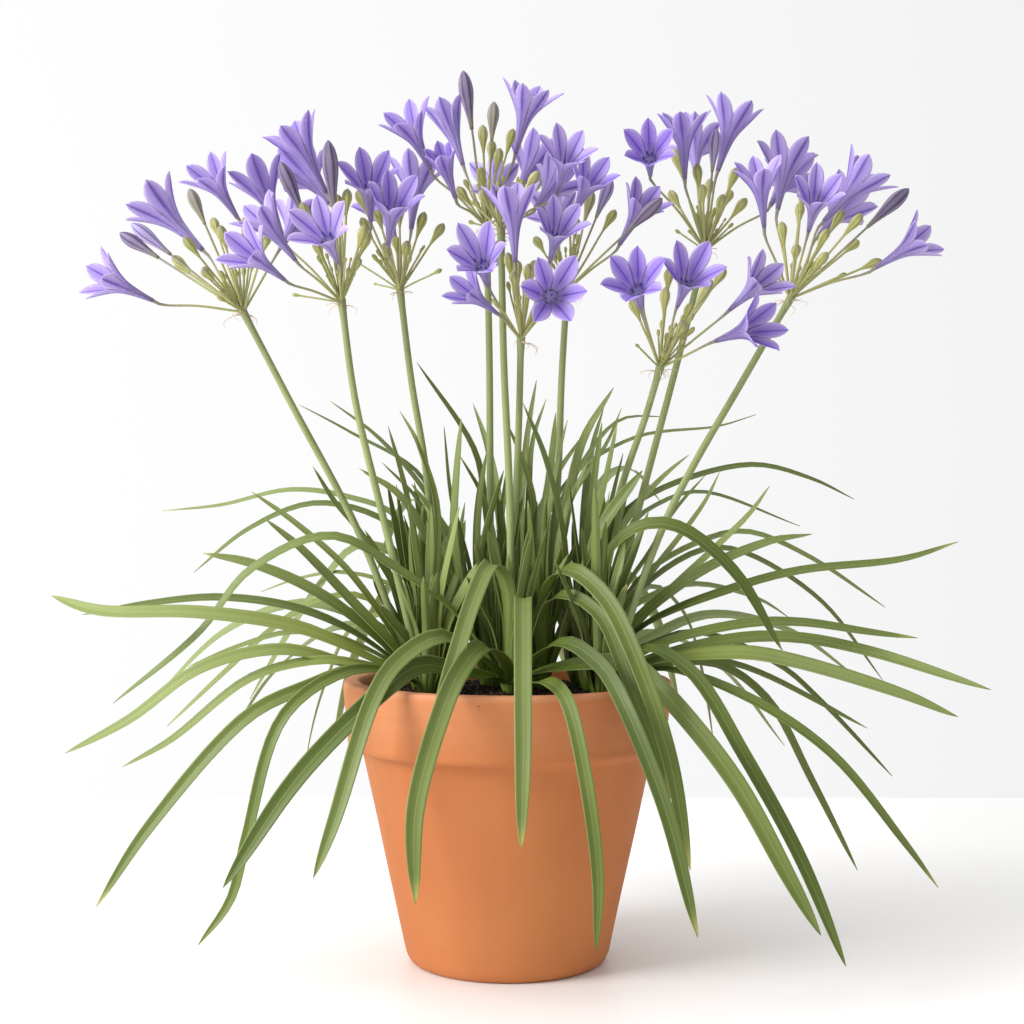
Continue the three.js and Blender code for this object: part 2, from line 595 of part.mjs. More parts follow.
function flower(foot, mouth, turn, open = 1) {
  const axis = mouth.clone().sub(foot);
  const length = axis.length();
  axis.normalize();
  const [across, over] = crossAxes(axis, UP);
  const positions = [];
  const add = ([along, out], angle, lift = 0) => {
    const spread = Math.min(out, LOBE_NOTCH[1]) + Math.max(0, out - LOBE_NOTCH[1]) * open;
    const spot = foot.clone()
      .addScaledVector(axis, (along + lift) * length)
      .addScaledVector(over, spread * length * Math.cos(angle))
      .addScaledVector(across, spread * length * Math.sin(angle));
    return positions.push(spot.x, spot.y, spot.z) / 3 - 1;
  };
  const start = THREE.MathUtils.degToRad(turn);
  const sector = Math.PI / 3;
  const base = [];
  const notch = [];
  const outer = [];
  for (let k = 0; k < 6; k += 1) {
    const angle = start + k * sector;
    base.push(add(TUBE_FOOT, angle));
    notch.push(add(LOBE_NOTCH, angle - sector / 2));
    outer.push(add(TUBE_SIDE, angle));
  }
  const throat = add(THROAT, 0);
  const indices = [];
  for (let k = 0; k < 6; k += 1) {
    const next = (k + 1) % 6;
    const angle = start + k * sector;
    const inner = k % 2 === 1;
    const wide = Math.atan2(TEPAL_WIDTH * (inner ? INNER_LOBE.broad : 1), LOBE_BACK[1]);
    const left = add(LOBE_EDGE, angle - wide);
    const right = add(LOBE_EDGE, angle + wide);
    const back = add(LOBE_BACK, angle);
    const front = add(LOBE_FRONT, angle);
    const tip = add(LOBE_TIP, angle, inner ? INNER_LOBE.lift : 0);
    const a = notch[k];
    const b = notch[next];
    indices.push(base[k], outer[k], a, base[k], b, outer[k], base[k], base[next], b);
    indices.push(a, outer[k], back, outer[k], b, back, a, back, left, left, back, tip);
    indices.push(back, b, right, back, right, tip);
    indices.push(a, left, front, left, tip, front, front, right, b, front, tip, right);
    indices.push(a, front, throat, front, b, throat);
  }
  for (let k = 1; k < 5; k += 1) indices.push(base[0], base[k + 1], base[k]);
  return shell(positions, indices);
}

// Each clump's green body: corm, leaves, scape, hub, stalks and buds in one piece

function clumpBody(key) {
  const clump = CLUMPS[key];
  const root = new THREE.Vector3(clump.root[0], clump.root[1], 0);
  const centre = place(clump.hub);
  const pieces = [neck(clump), scape(clump), hub(clump)];
  for (const [owner, width, ...points] of LEAVES) {
    if (owner === key) pieces.push(blade(root, width, points));
  }
  for (const [tip, length] of clump.buds) {
    pieces.push(stalked(centre, place(tip), length));
  }
  for (const [foot, mouth] of clump.flowers) {
    pieces.push(pedicel(centre, place(foot), place(mouth)));
  }
  return geometryOf(fuse(pieces));
}

// The pot: a thrown clay wall with a banded rim, a rounded foot and a drain hole

function turned(profile, sides) {
  const geometry = new THREE.LatheGeometry(profile.map(([r, z]) => new THREE.Vector2(r, z)), sides);
  geometry.rotateX(Math.PI / 2);
  return geometry;
}

function innerRadius(height) {
  const foot = FOOT_RADIUS - WALL;
  return foot + (RIM_RADIUS - RIM_WALL - foot) * (height - FLOOR) / (POT_HEIGHT - FLOOR);
}

function pot() {
  const bandFoot = POT_HEIGHT - RIM_DEPTH;
  const profile = [
    [DRAIN_RADIUS, 0],
    [FOOT_RADIUS - 5, 0],
    [FOOT_RADIUS - 1.3, 1.6],
    [FOOT_RADIUS + 0.9, 5.5],
    [BODY_TOP_RADIUS, bandFoot - 1.5],
    [RIM_FOOT_RADIUS - 0.8, bandFoot],
    [RIM_FOOT_RADIUS, bandFoot + 1.5],
    [RIM_RADIUS, POT_HEIGHT - 2.2],
    [RIM_RADIUS - 1.8, POT_HEIGHT],
    [innerRadius(POT_HEIGHT) + 1, POT_HEIGHT],
    [innerRadius(POT_HEIGHT - 1.6), POT_HEIGHT - 1.6],
    [innerRadius(FLOOR), FLOOR],
    [DRAIN_RADIUS, FLOOR],
    [DRAIN_RADIUS, 0],
  ];
  return turned(profile, POT_SIDES);
}

// The soil: it fills the pot to below the rim, slightly raised in the middle, with a plain
// hole for each clump

function soil() {
  const gap = FIT_GAP + 0.25;
  const atTop = innerRadius(SOIL_TOP - 3);
  const profile = [
    [0, FLOOR + gap],
    [innerRadius(FLOOR) - gap, FLOOR + gap],
    [atTop - gap, SOIL_TOP - 3],
    [atTop * 0.8, SOIL_TOP - 0.5],
    [atTop * 0.45, SOIL_TOP + SOIL_CROWN * 0.7],
    [0, SOIL_TOP + SOIL_CROWN],
  ];
  let body = solid(turned(profile, SOIL_SIDES));
  for (const clump of Object.values(CLUMPS)) {
    const [x, y] = clump.root;
    const hole = [CORM_BOTTOM - FIT_GAP, NECK_TOP + 5].map((height) => (
      roundRing(new THREE.Vector3(x, y, height), UP, CORM_RADIUS + FIT_GAP + 0.1, NECK_SIDES)
    ));
    body = body.subtract(solid(loft(hole)));
  }
  return geometryOf(body);
}

// Materials

const CLAY = { color: 0xc9774a, roughness: 0.8, metalness: 0 };
const SOIL = { color: 0x2b2019, roughness: 0.95, metalness: 0 };
const LEAF = { color: 0x6f8f45, roughness: 0.5, metalness: 0 };
const TEPAL = { color: 0x8b74cf, roughness: 0.55, metalness: 0 };

const group = new THREE.Group();

function addNode(name, geometry, look) {
  geometry.computeVertexNormals();
  const mesh = new THREE.Mesh(geometry, new THREE.MeshStandardMaterial(look));
  mesh.name = name;
  group.add(mesh);
}

addNode('pot', pot(), CLAY);
addNode('soil', soil(), SOIL);
for (const [key, clump] of Object.entries(CLUMPS)) {
  addNode(`clump_${key}`, clumpBody(key), LEAF);
  clump.flowers.forEach(([foot, mouth, ...form], number) => {
    addNode(`bloom_${key}${number + 1}`, flower(place(foot), place(mouth), ...form), TEPAL);
  });
}

export default group;
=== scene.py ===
"""A potted triteleia dressed for its picture: the clay pot and its soil, and for each of the
ten clumps its leaves, its stems with their stalks and buds, and its violet flowers. Sizes
are in millimetres, and a mesh is scaled to metres once, where it is made."""

import math
import random

import bmesh
import bpy
from mathutils import Matrix, Vector, noise


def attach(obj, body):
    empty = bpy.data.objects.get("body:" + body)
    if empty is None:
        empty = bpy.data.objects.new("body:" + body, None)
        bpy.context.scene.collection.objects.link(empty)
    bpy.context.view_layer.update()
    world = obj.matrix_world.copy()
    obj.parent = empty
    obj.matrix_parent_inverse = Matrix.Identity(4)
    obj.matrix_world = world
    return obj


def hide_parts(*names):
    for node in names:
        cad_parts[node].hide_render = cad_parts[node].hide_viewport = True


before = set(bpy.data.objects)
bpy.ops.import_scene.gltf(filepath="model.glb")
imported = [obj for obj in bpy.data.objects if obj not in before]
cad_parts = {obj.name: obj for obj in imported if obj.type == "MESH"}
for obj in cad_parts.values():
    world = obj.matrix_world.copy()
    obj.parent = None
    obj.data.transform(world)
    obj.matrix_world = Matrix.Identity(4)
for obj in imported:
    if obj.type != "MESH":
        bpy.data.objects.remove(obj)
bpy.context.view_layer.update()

MM = 0.001
UP = Vector((0, 0, 1))
FRONT = Vector((0, -1, 0))

# Sizes shared with the solids

POT_HEIGHT = 145
RIM_RADIUS = 85
RIM_FOOT_RADIUS = 82.2
RIM_DEPTH = 33
RIM_WALL = 9
BODY_TOP_RADIUS = 75.3
FOOT_RADIUS = 52
WALL = 6.5
FLOOR = 8
DRAIN_RADIUS = 9
SOIL_TOP = 137
SOIL_CROWN = 3
NECK_TOP = 147
SCAPE_RADIUS = 2.3
HUB_RADIUS = 3.2
PEDICEL_RADIUS = 0.7
BUD_RADIUS = 2.6
KEEL = 1.1
SIDE_FACING = 0.42
FRONT_FACING = 0.85
TEPAL_WIDTH = 0.115

# The viewing point that the spread of the plant was measured from

VIEW_ACROSS = 2.3
VIEW_BACK = 880
VIEW_UP = 237.5

# Clumps: where each stands in the soil, the bends of its scape, its hub, and what the hub
# carries. A flower is its foot, the centre of its mouth, its turn in degrees and, where it is
# half shut, how far it opens. A bud is its tip and its length.

CLUMPS = {
    "a": {
        "root": [-46, 8],
        "scape": [[-76, 5, 218], [-113, -2, 289]],
        "hub": [-137, -6, 335],
        "flowers": [
            [[-184, -14, 341], [-216, -34, 356], 10],
            [[-158, 8, 367], [-188, 14, 396], 0, 0.8],
            [[-140, -12, 384], [-158, -32, 412], 20],
            [[-118, 32, 368], [-106, 58, 388], 0],
        ],
        "buds": [
            [[-201, 16, 376], 27], [[-195, -4, 381], 26], [[-165, -8, 399], 20],
            [[-149, -34, 380], 13], [[-168, -26, 374], 13], [[-153, 14, 384], 13],
            [[-174, -2, 364], 13], [[-158, -42, 358], 12], [[-172, 22, 360], 12],
            [[-136, 30, 384], 13], [[-124, -34, 376], 12],
        ],
    },
    "b": {
        "root": [-41, -20],
        "scape": [[-62, -21, 218], [-79, -22, 289]],
        "hub": [-86, -22, 340],
        "flowers": [
            [[-94, -32, 397], [-115, -40, 434], 0],
            [[-92, -4, 391], [-110, 20, 413], 0],
            [[-88, -58, 361], [-99, -91, 384], 10],
            [[-116, -54, 352], [-141, -80, 371], 0],
            [[-110, -34, 362], [-133, -48, 391], 15],
            [[-117, -12, 375], [-132, -6, 411], 0],
            [[-71, -4, 382], [-72, -34, 412], 20],
        ],
        "buds": [
            [[-93, -54, 424], 36], [[-118, -24, 413], 30], [[-107, -40, 392], 13],
            [[-83, -42, 399], 13], [[-100, -48, 372], 12], [[-74, -44, 380], 13],
            [[-72, -26, 376], 12], [[-86, 12, 392], 13], [[-104, 10, 378], 13],
            [[-88, -26, 396], 12],
        ],
    },
    "c": {
        "root": [-34.2, 29.5],
        "scape": [[-42, 22, 250], [-50, 16, 300]],
        "hub": [-55.7, 11.6, 346.3],
        "flowers": [
            [[-62, -24, 370], [-58, -52, 400], 12],
            [[-50, 2, 378], [-47, 12, 414], 0],
            [[-58, 46, 372], [-66, 72, 396], 0],
        ],
        "buds": [
            [[-78, 22, 398], 14], [[-76, 8, 384], 12], [[-68, 34, 388], 13],
            [[-64, -4, 371], 11], [[-58, 34, 374], 12], [[-52, -10, 372], 12],
            [[-43, 6, 387], 14], [[-33, 14, 381], 13], [[-56, 24, 390], 12],
        ],
    },
    "d": {
        "root": [-9, 2],
        "scape": [[-9, 1, 250], [-9.5, 0, 320]],
        "hub": [-11, -2, 379],
        "flowers": [
            [[-40, -12, 409], [-55, -30, 440], 20],
            [[-23, 10, 411], [-34, 18, 444], 0, 0.5],
            [[-27, -30, 394], [-36, -48, 421], 25, 0.55],
            [[4, -6, 417], [13, -16, 454], 0],
            [[-8, 34, 390], [-6, 64, 406], 0],
        ],
        "buds": [
            [[-23, -8, 460], 30], [[-7, -8, 444], 20], [[-13, -18, 432], 14],
            [[-8, 12, 424], 13], [[-4, -20, 420], 12], [[3, 8, 430], 14],
            [[-14, -32, 410], 13], [[-26, 2, 400], 12],
        ],
    },
    "e": {
        "root": [2, -16],
        "scape": [[1, -18, 240], [-2, -21, 310]],
        "hub": [-3.4, -25, 377],
        "flowers": [
            [[26, -40, 397], [32, -66, 424], 16],
            [[14, -14, 388], [28, 8, 407], 0],
            [[5, 14, 398], [17, 42, 417], 0],
        ],
        "buds": [
            [[16, -48, 408], 14], [[-14, -46, 398], 13], [[17, -26, 404], 12],
            [[8, -14, 404], 13],
        ],
    },
    "f": {
        "root": [4, 18],
        "scape": [[4, 8, 220], [6, -10, 280]],
        "hub": [7, -20, 320.5],
        "flowers": [
            [[4, -44, 361], [2, -53, 403], 0],
            [[22, -32, 361], [28, -60, 386], 10],
            [[-10, -52, 349], [-17, -86, 370], 33],
            [[-5, -40, 334], [-26, -58, 350], 0],
            [[20, -56, 340], [25, -95, 347], 27],
            [[-10, 14, 346], [-14, 40, 368], 0],
        ],
        "buds": [
            [[0, -40, 366], 13], [[5, -12, 362], 12], [[11, -52, 360], 13],
            [[14, -10, 362], 12], [[20, 2, 350], 12], [[3, -58, 356], 12],
        ],
    },
    "g": {
        "root": [38, 24],
        "scape": [[57, 4, 237], [72, -18, 282]],
        "hub": [79, -30, 306],
        "flowers": [
            [[69, -58, 337], [65, -92, 357], -8],
            [[88, -54, 338], [97, -85, 361], 24],
            [[115, -36, 336], [138, -60, 357], 0],
            [[108, -54, 320], [136, -80, 330], 20],
            [[70, 2, 338], [66, 30, 356], 0],
        ],
        "buds": [
            [[82, -36, 348], 14], [[106, -48, 352], 17], [[113, -26, 358], 13],
            [[96, -16, 340], 13], [[92, -58, 330], 12], [[84, -16, 358], 13],
            [[64, -28, 342], 12],
        ],
    },
    "h": {
        "root": [43, -2],
        "scape": [[69, 5, 237], [87, 10, 305]],
        "hub": [102.5, 15, 367],
        "flowers": [
            [[74, 2, 406], [73, -31, 424], 0],
            [[92, -8, 404], [91, -16, 440], 0],
            [[98, 34, 406], [96, 60, 427], 0],
            [[109, 6, 408], [120, 4, 445], 0],
            [[136, 32, 390], [148, 56, 410], 0],
        ],
        "buds": [
            [[86, 14, 420], 16], [[98, -6, 412], 14], [[101, -18, 401], 12],
            [[105, 32, 404], 12], [[112, -8, 396], 13], [[119, 14, 410], 14],
            [[116, 38, 398], 12], [[124, 8, 394], 13], [[108, -6, 430], 22],
            [[84, 34, 398], 13],
        ],
    },
    "i": {
        "root": [47, -26],
        "scape": [[83, -24, 229], [124, -21, 303]],
        "hub": [146.6, -18, 342],
        "flowers": [
            [[133, -36, 379], [130, -50, 414], 20],
            [[140, 4, 388], [145, 18, 421], 0],
            [[156, -44, 377], [162, -72, 402], 0],
            [[164, -24, 382], [191, -29, 412], 15],
            [[161, 6, 374], [179, 30, 395], 0],
            [[191, -26, 358], [220, -42, 376], 5],
        ],
        "buds": [
            [[154, -22, 404], 17], [[152, -2, 392], 13], [[184, -38, 386], 14],
            [[174, -12, 388], 14], [[166, -54, 378], 13], [[166, -36, 366], 12],
            [[150, -50, 370], 12], [[142, -22, 382], 12], [[194, -12, 362], 12],
            [[208, -8, 399], 30], [[182, 14, 372], 13],
        ],
    },
    "j": {
        "root": [16.5, 2.5],
        "scape": [[26, 11, 247], [28, 16, 300]],
        "hub": [30.8, 20, 346.5],
        "flowers": [
            [[34, 8, 385], [46, -16, 411], 10],
            [[58, 2, 370], [74, -18, 398], 0],
            [[26, 52, 372], [24, 80, 392], 0],
        ],
        "buds": [
            [[80, -34, 394], 28], [[54, 16, 404], 22], [[56, 34, 388], 14],
            [[36, 34, 384], 13], [[24, 2, 372], 12], [[44, 30, 398], 18],
            [[14, 40, 374], 12],
        ],
    },
}

LEAVES = [
    # Left side
    ["b", 10, [-71, -30, 155], [-108, -36, 171], [-160, -42, 179], [-211, -34, 180], [-237, -14, 188]],
    ["b", 8, [-82, -38, 152], [-118, -48, 160], [-160, -54, 150], [-196, -58, 124], [-230, -60, 106]],
    ["b", 8, [-77, -46, 150], [-103, -56, 141], [-134, -62, 126], [-186, -68, 68], [-214, -70, 26]],
    ["b", 6, [-78, -42, 153], [-102, -48, 154], [-134, -52, 145], [-175, -56, 113], [-200, -58, 99]],
    ["b", 7, [-82, -54, 149], [-116, -68, 126], [-136, -74, 61], [-144, -76, 30], [-161, -78, 6]],
    ["b", 8, [-58, -20, 160], [-82, -18, 186], [-108, -16, 213], [-126, -14, 228]],
    ["a", 7, [-77, 0, 167], [-108, -2, 181], [-149, -4, 187], [-186, -6, 184], [-221, -8, 178]],
    ["a", 8, [-77, -4, 174], [-103, -8, 192], [-134, -12, 205], [-158, -14, 210]],
    ["a", 5, [-58, 4, 165], [-82, 6, 200], [-108, 8, 224], [-133, 10, 242]],
    ["a", 5, [-56, 12, 186], [-79, 14, 224], [-90, 15, 237], [-101, 16, 255]],
    ["a", 5, [-87, 4, 166], [-113, 2, 169], [-139, 0, 162], [-166, -2, 151]],
    ["a", 6, [-72, 14, 186], [-97, 14, 186], [-123, 12, 170], [-144, 10, 151], [-177, 8, 120]],
    ["c", 5, [-56, 42, 227], [-82, 46, 239], [-113, 50, 243], [-149, 53, 235], [-179, 54, 232]],
    ["c", 5, [-45, 36, 206], [-64, 38, 227], [-100, 38, 236], [-134, 36, 223], [-163, 34, 200]],
    ["c", 8, [-50, 38, 203], [-77, 42, 214], [-97, 44, 194], [-116, 46, 165], [-134, 48, 134]],
    ["c", 4, [-56, 36, 190], [-84, 40, 200], [-108, 42, 197], [-128, 44, 190]],
    ["c", 7, [-62, 44, 178], [-82, 50, 170], [-94, 53, 145], [-101, 55, 123], [-105, 56, 102]],
    ["e", 7, [-27, -28, 179], [-56, -30, 201], [-92, -31, 219], [-134, -30, 201], [-160, -29, 169],
     [-205, -28, 132]],
    # Over the front of the rim
    ["e", 11, [-22, -44, 148], [-45, -58, 152], [-63, -73, 140], [-108, -90, 95], [-148, -106, 36]],
    ["e", 10, [-19, -46, 160], [-35, -58, 167], [-56, -68, 155], [-69, -78, 136], [-90, -100, 71],
     [-101, -106, 41]],
    ["e", 10, [0, -24, 192], [-8, -36, 205], [-17, -52, 188], [-26, -72, 160], [-34, -96, 133],
     [-40, -110, 110]],
    ["e", 11, [-1, -34, 152], [-12, -56, 162], [-24, -84, 150], [-34, -106, 128], [-48, -130, 76],
     [-48, -140, 27]],
    ["e", 10, [6, -26, 172], [8, -46, 187], [8, -70, 180], [8, -98, 146], [8, -122, 100], [7, -134, 56]],
    ["e", 8, [11, -44, 142], [22, -80, 143], [31, -102, 133], [41, -124, 90], [47, -134, 40], [46, -138, 3]],
    ["e", 9, [19, -36, 160], [30, -48, 164], [48, -66, 152], [60, -84, 132], [82, -106, 77], [99, -118, 10]],
    ["e", 11, [35, -34, 152], [64, -46, 152], [79, -60, 140], [118, -84, 92], [147, -94, 40], [163, -98, 11]],
    ["j", 10, [20, -16, 190], [31, -32, 202], [50, -48, 188], [68, -70, 152], [84, -84, 104], [95, -86, 45]],
    ["j", 8, [17, -12, 178], [29, -26, 189], [47, -38, 179], [61, -62, 148], [74, -76, 116], [85, -78, 82]],
    ["i", 8, [71, -42, 161], [95, -56, 149], [123, -70, 105], [152, -80, 52], [176, -84, -5]],
    # Right side
    ["i", 6, [79, -36, 150], [121, -50, 137], [167, -60, 107], [206, -66, 60], [224, -68, 36]],
    ["i", 11, [74, -34, 153], [121, -44, 158], [147, -46, 154], [204, -50, 137], [234, -52, 125]],
    ["i", 8, [74, -32, 160], [121, -36, 173], [152, -37, 174], [188, -38, 169], [213, -39, 166]],
    ["i", 9, [54, -32, 212], [72, -38, 225], [90, -42, 223], [118, -46, 200], [143, -49, 159]],
    ["h", 6, [79, -14, 152], [110, -19, 152], [135, -22, 134], [158, -26, 92], [182, -30, 45]],
    ["h", 7, [69, -8, 154], [121, -18, 166], [152, -22, 166], [188, -32, 159], [251, -63, 139]],
    ["h", 5, [74, -2, 152], [110, -2, 154], [131, -2, 148], [187, -2, 119]],
    ["h", 7, [69, -8, 171], [121, -12, 193], [152, -14, 201], [205, -18, 207], [234, -20, 216]],
    ["h", 10, [58, -6, 165], [95, -8, 197], [136, -10, 216], [158, -12, 220]],
    ["h", 6, [69, 0, 175], [108, 2, 213], [126, 2, 231], [136, 2, 245]],
    ["h", 5, [53, 4, 170], [71, 6, 195], [102, 8, 236], [110, 8, 252]],
    ["g", 5, [74, 20, 163], [98, 25, 169], [141, 26, 152], [162, 26, 134], [200, 26, 94]],
    ["g", 5, [69, 20, 197], [108, 16, 219], [126, 16, 221], [157, 14, 208], [196, 14, 182]],
    ["g", 5, [69, 26, 191], [102, 28, 212], [121, 28, 211], [162, 28, 186], [195, 28, 144]],
    ["g", 5, [58, 28, 227], [77, 30, 242], [126, 30, 256], [157, 30, 249], [180, 30, 238]],
    ["g", 4, [64, 36, 224], [79, 40, 236], [100, 42, 242], [152, 46, 224]],
    ["g", 3.5, [60, 34, 190], [74, 36, 211], [85, 37, 230], [103, 38, 251]],
    ["g", 7, [60, 43, 183], [76, 48, 193], [92, 52, 179], [101, 54, 150], [107, 56, 113]],
    ["g", 5, [60, 38, 178], [82, 42, 191], [100, 44, 194], [131, 46, 186], [147, 47, 176]],
    ["j", 6, [38, 15, 190], [48, 21, 206], [69, 22, 237], [82, 22, 251], [94, 22, 261]],
    ["f", 4, [14, 26, 210], [32, 34, 248], [66, 36, 270], [110, 38, 276], [129, 38, 282]],
    ["f", 4, [20, 34, 215], [36, 44, 252], [58, 50, 279], [82, 54, 281]],
    # Upright in the middle
    ["d", 5, [-9, 8, 206], [-12, 10, 237], [-17, 12, 263], [-47, 16, 309]],
    ["c", 5, [-30, 32, 206], [-40, 34, 237], [-66, 38, 269], [-92, 40, 289]],
    ["c", 4, [-34, 36, 215], [-45, 40, 250], [-82, 46, 273], [-108, 48, 287]],
    ["c", 4, [-36, 30, 205], [-45, 29, 235], [-65, 28, 257]],
    ["a", 5, [-43, 10, 186], [-48, 10, 217], [-53, 10, 243], [-62, 10, 276]],
    ["a", 6, [-52, 16, 165], [-60, 18, 195], [-74, 20, 222]],
    ["b", 4, [-37, -15, 200], [-37, -12, 237], [-48, -10, 272]],
    ["d", 4, [-20, -2, 190], [-25, -4, 217], [-30, -5, 243], [-33, -6, 276]],
    ["d", 7, [-22, -9, 180], [-28, -13, 220], [-27, -14, 248], [-24, -14, 280]],
    ["d", 5, [-16, -8, 205], [-15, -9, 237], [-11, -9, 262]],
    ["d", 4, [-6, 7, 205], [-12, 8, 237], [-25, 10, 261]],
    ["d", 6, [-14, -7, 185], [-12, -8, 217], [-2, -8, 253]],
    ["d", 8, [-16, -4, 165], [-40, -6, 214], [-56, -7, 240], [-77, -8, 254]],
    ["d", 6, [-20, 6, 190], [-32, 10, 222], [-50, 12, 246]],
    ["f", 4, [-4, 24, 215], [-1, 26, 245], [2, 27, 263]],
    ["f", 4, [14, 22, 230], [9, 24, 255], [-1, 26, 279]],
    ["f", 5, [6, 26, 215], [10, 29, 269], [15, 30, 300]],
    ["f", 4, [11, 30, 240], [13, 34, 268], [20, 36, 290]],
    ["f", 5, [12, 26, 215], [24, 32, 248], [43, 38, 276]],
    ["f", 4, [20, 28, 205], [34, 31, 240], [52, 34, 268], [59, 36, 285]],
    ["j", 6, [26, -4, 180], [30, -8, 208], [20, -7, 258], [8, 2, 288]],
    ["j", 7, [17, 4, 190], [17, 5, 217], [22, 5, 250], [25, 5, 283]],
    ["j", 5, [20, -2, 215], [26, 0, 258], [31, 2, 279]],
    ["j", 7, [22, 10, 185], [28, 14, 217], [39, 18, 268], [55, 20, 296]],
    ["j", 9, [28, -8, 165], [35, -14, 191], [51, -20, 227], [70, -22, 253]],
    ["j", 6, [24, -4, 200], [30, -4, 230], [42, -6, 258]],
    ["h", 5, [41, 3, 200], [44, 4, 240], [49, 4, 278]],
    ["h", 6, [40, -8, 201], [47, -10, 230], [57, -10, 278]],
    ["g", 4, [46, 30, 195], [54, 29, 237], [60, 28, 262]],
    # At the back
    ["c", 9, [-44, 60, 186], [-56, 86, 198], [-78, 116, 160], [-92, 137, 106]],
    ["c", 8, [-39, 57, 214], [-46, 82, 238], [-56, 108, 232], [-68, 134, 200]],
    ["c", 9, [-58, 54, 164], [-86, 80, 172], [-120, 104, 150], [-146, 120, 112]],
    ["c", 8, [-68, 50, 172], [-104, 62, 184], [-146, 75, 170], [-186, 86, 132]],
    ["c", 5, [-38, 46, 235], [-46, 58, 266], [-56, 68, 284]],
    ["f", 10, [0, 54, 178], [-6, 86, 194], [-14, 118, 158], [-20, 140, 80]],
    ["f", 8, [8, 50, 212], [14, 80, 236], [22, 106, 226], [30, 132, 192]],
    ["f", 6, [-4, 42, 230], [-10, 60, 264], [-18, 74, 288]],
    ["f", 9, [14, 58, 164], [24, 90, 168], [36, 116, 136], [44, 136, 62]],
    ["g", 9, [46, 56, 184], [58, 84, 202], [76, 114, 178], [90, 138, 128]],
    ["g", 9, [52, 52, 160], [80, 74, 168], [112, 96, 150], [144, 114, 110]],
    ["g", 7, [42, 48, 220], [50, 70, 248], [64, 92, 254], [80, 116, 236]],
    ["g", 5, [40, 38, 235], [44, 52, 265], [50, 64, 286]],
    ["g", 8, [70, 52, 164], [104, 66, 178], [146, 80, 170], [186, 92, 142]],
]


def place(spot):
    """The true place of a spot that is written as it shows from the viewing point."""
    across, depth, up = spot
    grow = 1 + depth / VIEW_BACK
    return Vector((
        VIEW_ACROSS + (across - VIEW_ACROSS) * grow,
        depth,
        VIEW_UP + (up - VIEW_UP) * grow,
    ))


def mixed(low, high, share):
    """A value part of the way from one to another."""
    return low + (high - low) * share


def eased(low, high, value):
    """0 below a span, 1 above it, and a smooth rise between."""
    share = min(1, max(0, (value - low) / (high - low)))
    return share * share * (3 - 2 * share)


def even_shares(steps):
    """Shares from 0 to 1 in even steps."""
    return [step / steps for step in range(steps + 1)]


def ring_turns(sides):
    """The angles of the points of a ring."""
    return [math.tau * side / sides for side in range(sides)]


def around(radius, turn, height=0):
    """A place at a radius, a turn about the upright axis and a height."""
    return Vector((radius * math.cos(turn), radius * math.sin(turn), height))


def square_to(along, direction):
    """A direction brought square to another."""
    return (direction - along * direction.dot(along)).normalized()


def shade(code):
    """A colour for the nodes from its usual six digits."""
    parts = [int(code[start:start + 2], 16) / 255 for start in (0, 2, 4)]
    return (*(part / 12.92 if part < 0.04045 else ((part + 0.055) / 1.055) ** 2.4 for part in parts), 1)


# Smooth paths


class Path:
    """A smooth path through knots, read by the share of its length."""

    def __init__(self, knots, steps=12):
        ends = [2 * knots[0] - knots[1], *knots, 2 * knots[-1] - knots[-2]]
        self.points = []
        for before, start, end, after in zip(ends, ends[1:], ends[2:], ends[3:]):
            leading = (start - before).length ** 0.5
            crossing = (end - start).length ** 0.5
            trailing = (after - end).length ** 0.5
            leave = (start - before) / leading - (end - before) / (leading + crossing)
            leave = (leave + (end - start) / crossing) * crossing
            arrive = (end - start) / crossing - (after - start) / (crossing + trailing)
            arrive = (arrive + (after - end) / trailing) * crossing
            for step in range(steps):
                t = step / steps
                self.points.append(
                    start * (2 * t ** 3 - 3 * t ** 2 + 1) + leave * (t ** 3 - 2 * t ** 2 + t)
                    + end * (3 * t ** 2 - 2 * t ** 3) + arrive * (t ** 3 - t ** 2)
                )
        self.points.append(knots[-1].copy())
        self.marks = [0]
        for start, end in zip(self.points, self.points[1:]):
            self.marks.append(self.marks[-1] + (end - start).length)
        self.length = self.marks[-1]

    def point(self, share):
        """The point at a share of the length."""
        goal = min(1, max(0, share)) * self.length
        span = 0
        while span < len(self.marks) - 2 and self.marks[span + 1] < goal:
            span += 1
        reach = (goal - self.marks[span]) / (self.marks[span + 1] - self.marks[span])
        return self.points[span].lerp(self.points[span + 1], reach)

    def at(self, share):
        """The point and the direction at a share of the length."""
        ahead = self.point(share + 0.01)
        behind = self.point(share - 0.01)
        return self.point(share), (ahead - behind).normalized()

    def run(self, steps):
        """Points in even steps from one end to the other."""
        return [self.point(share) for share in even_shares(steps)]


# Meshes

# What the points of a mesh may carry: the kind of each value and the field that holds it

CARRIED = {
    "thick": ("FLOAT", "value"),
    "facing": ("FLOAT_VECTOR", "vector"),
    "size": ("FLOAT_VECTOR", "vector"),
    "look": ("FLOAT_COLOR", "color"),
}
NO_LOOK = (0, 0, 0)


def carry(mesh, key, rows):
    """Gives each point of a mesh its row of numbers. A look has a fourth one that stays 1."""
    kind, field = CARRIED[key]
    if key == "look":
        rows = [(*row, 1) for row in rows]
    attribute = mesh.attributes.new(key, kind, "POINT")
    attribute.data.foreach_set(field, [number for row in rows for number in row])


def carrier(name, points, edges, **values):
    """A mesh of bare points and edges that carries values for a layout."""
    made = bpy.data.meshes.new(name)
    made.from_pydata([point * MM for point in points], edges, [])
    for key, rows in values.items():
        carry(made, key, rows)
    return made


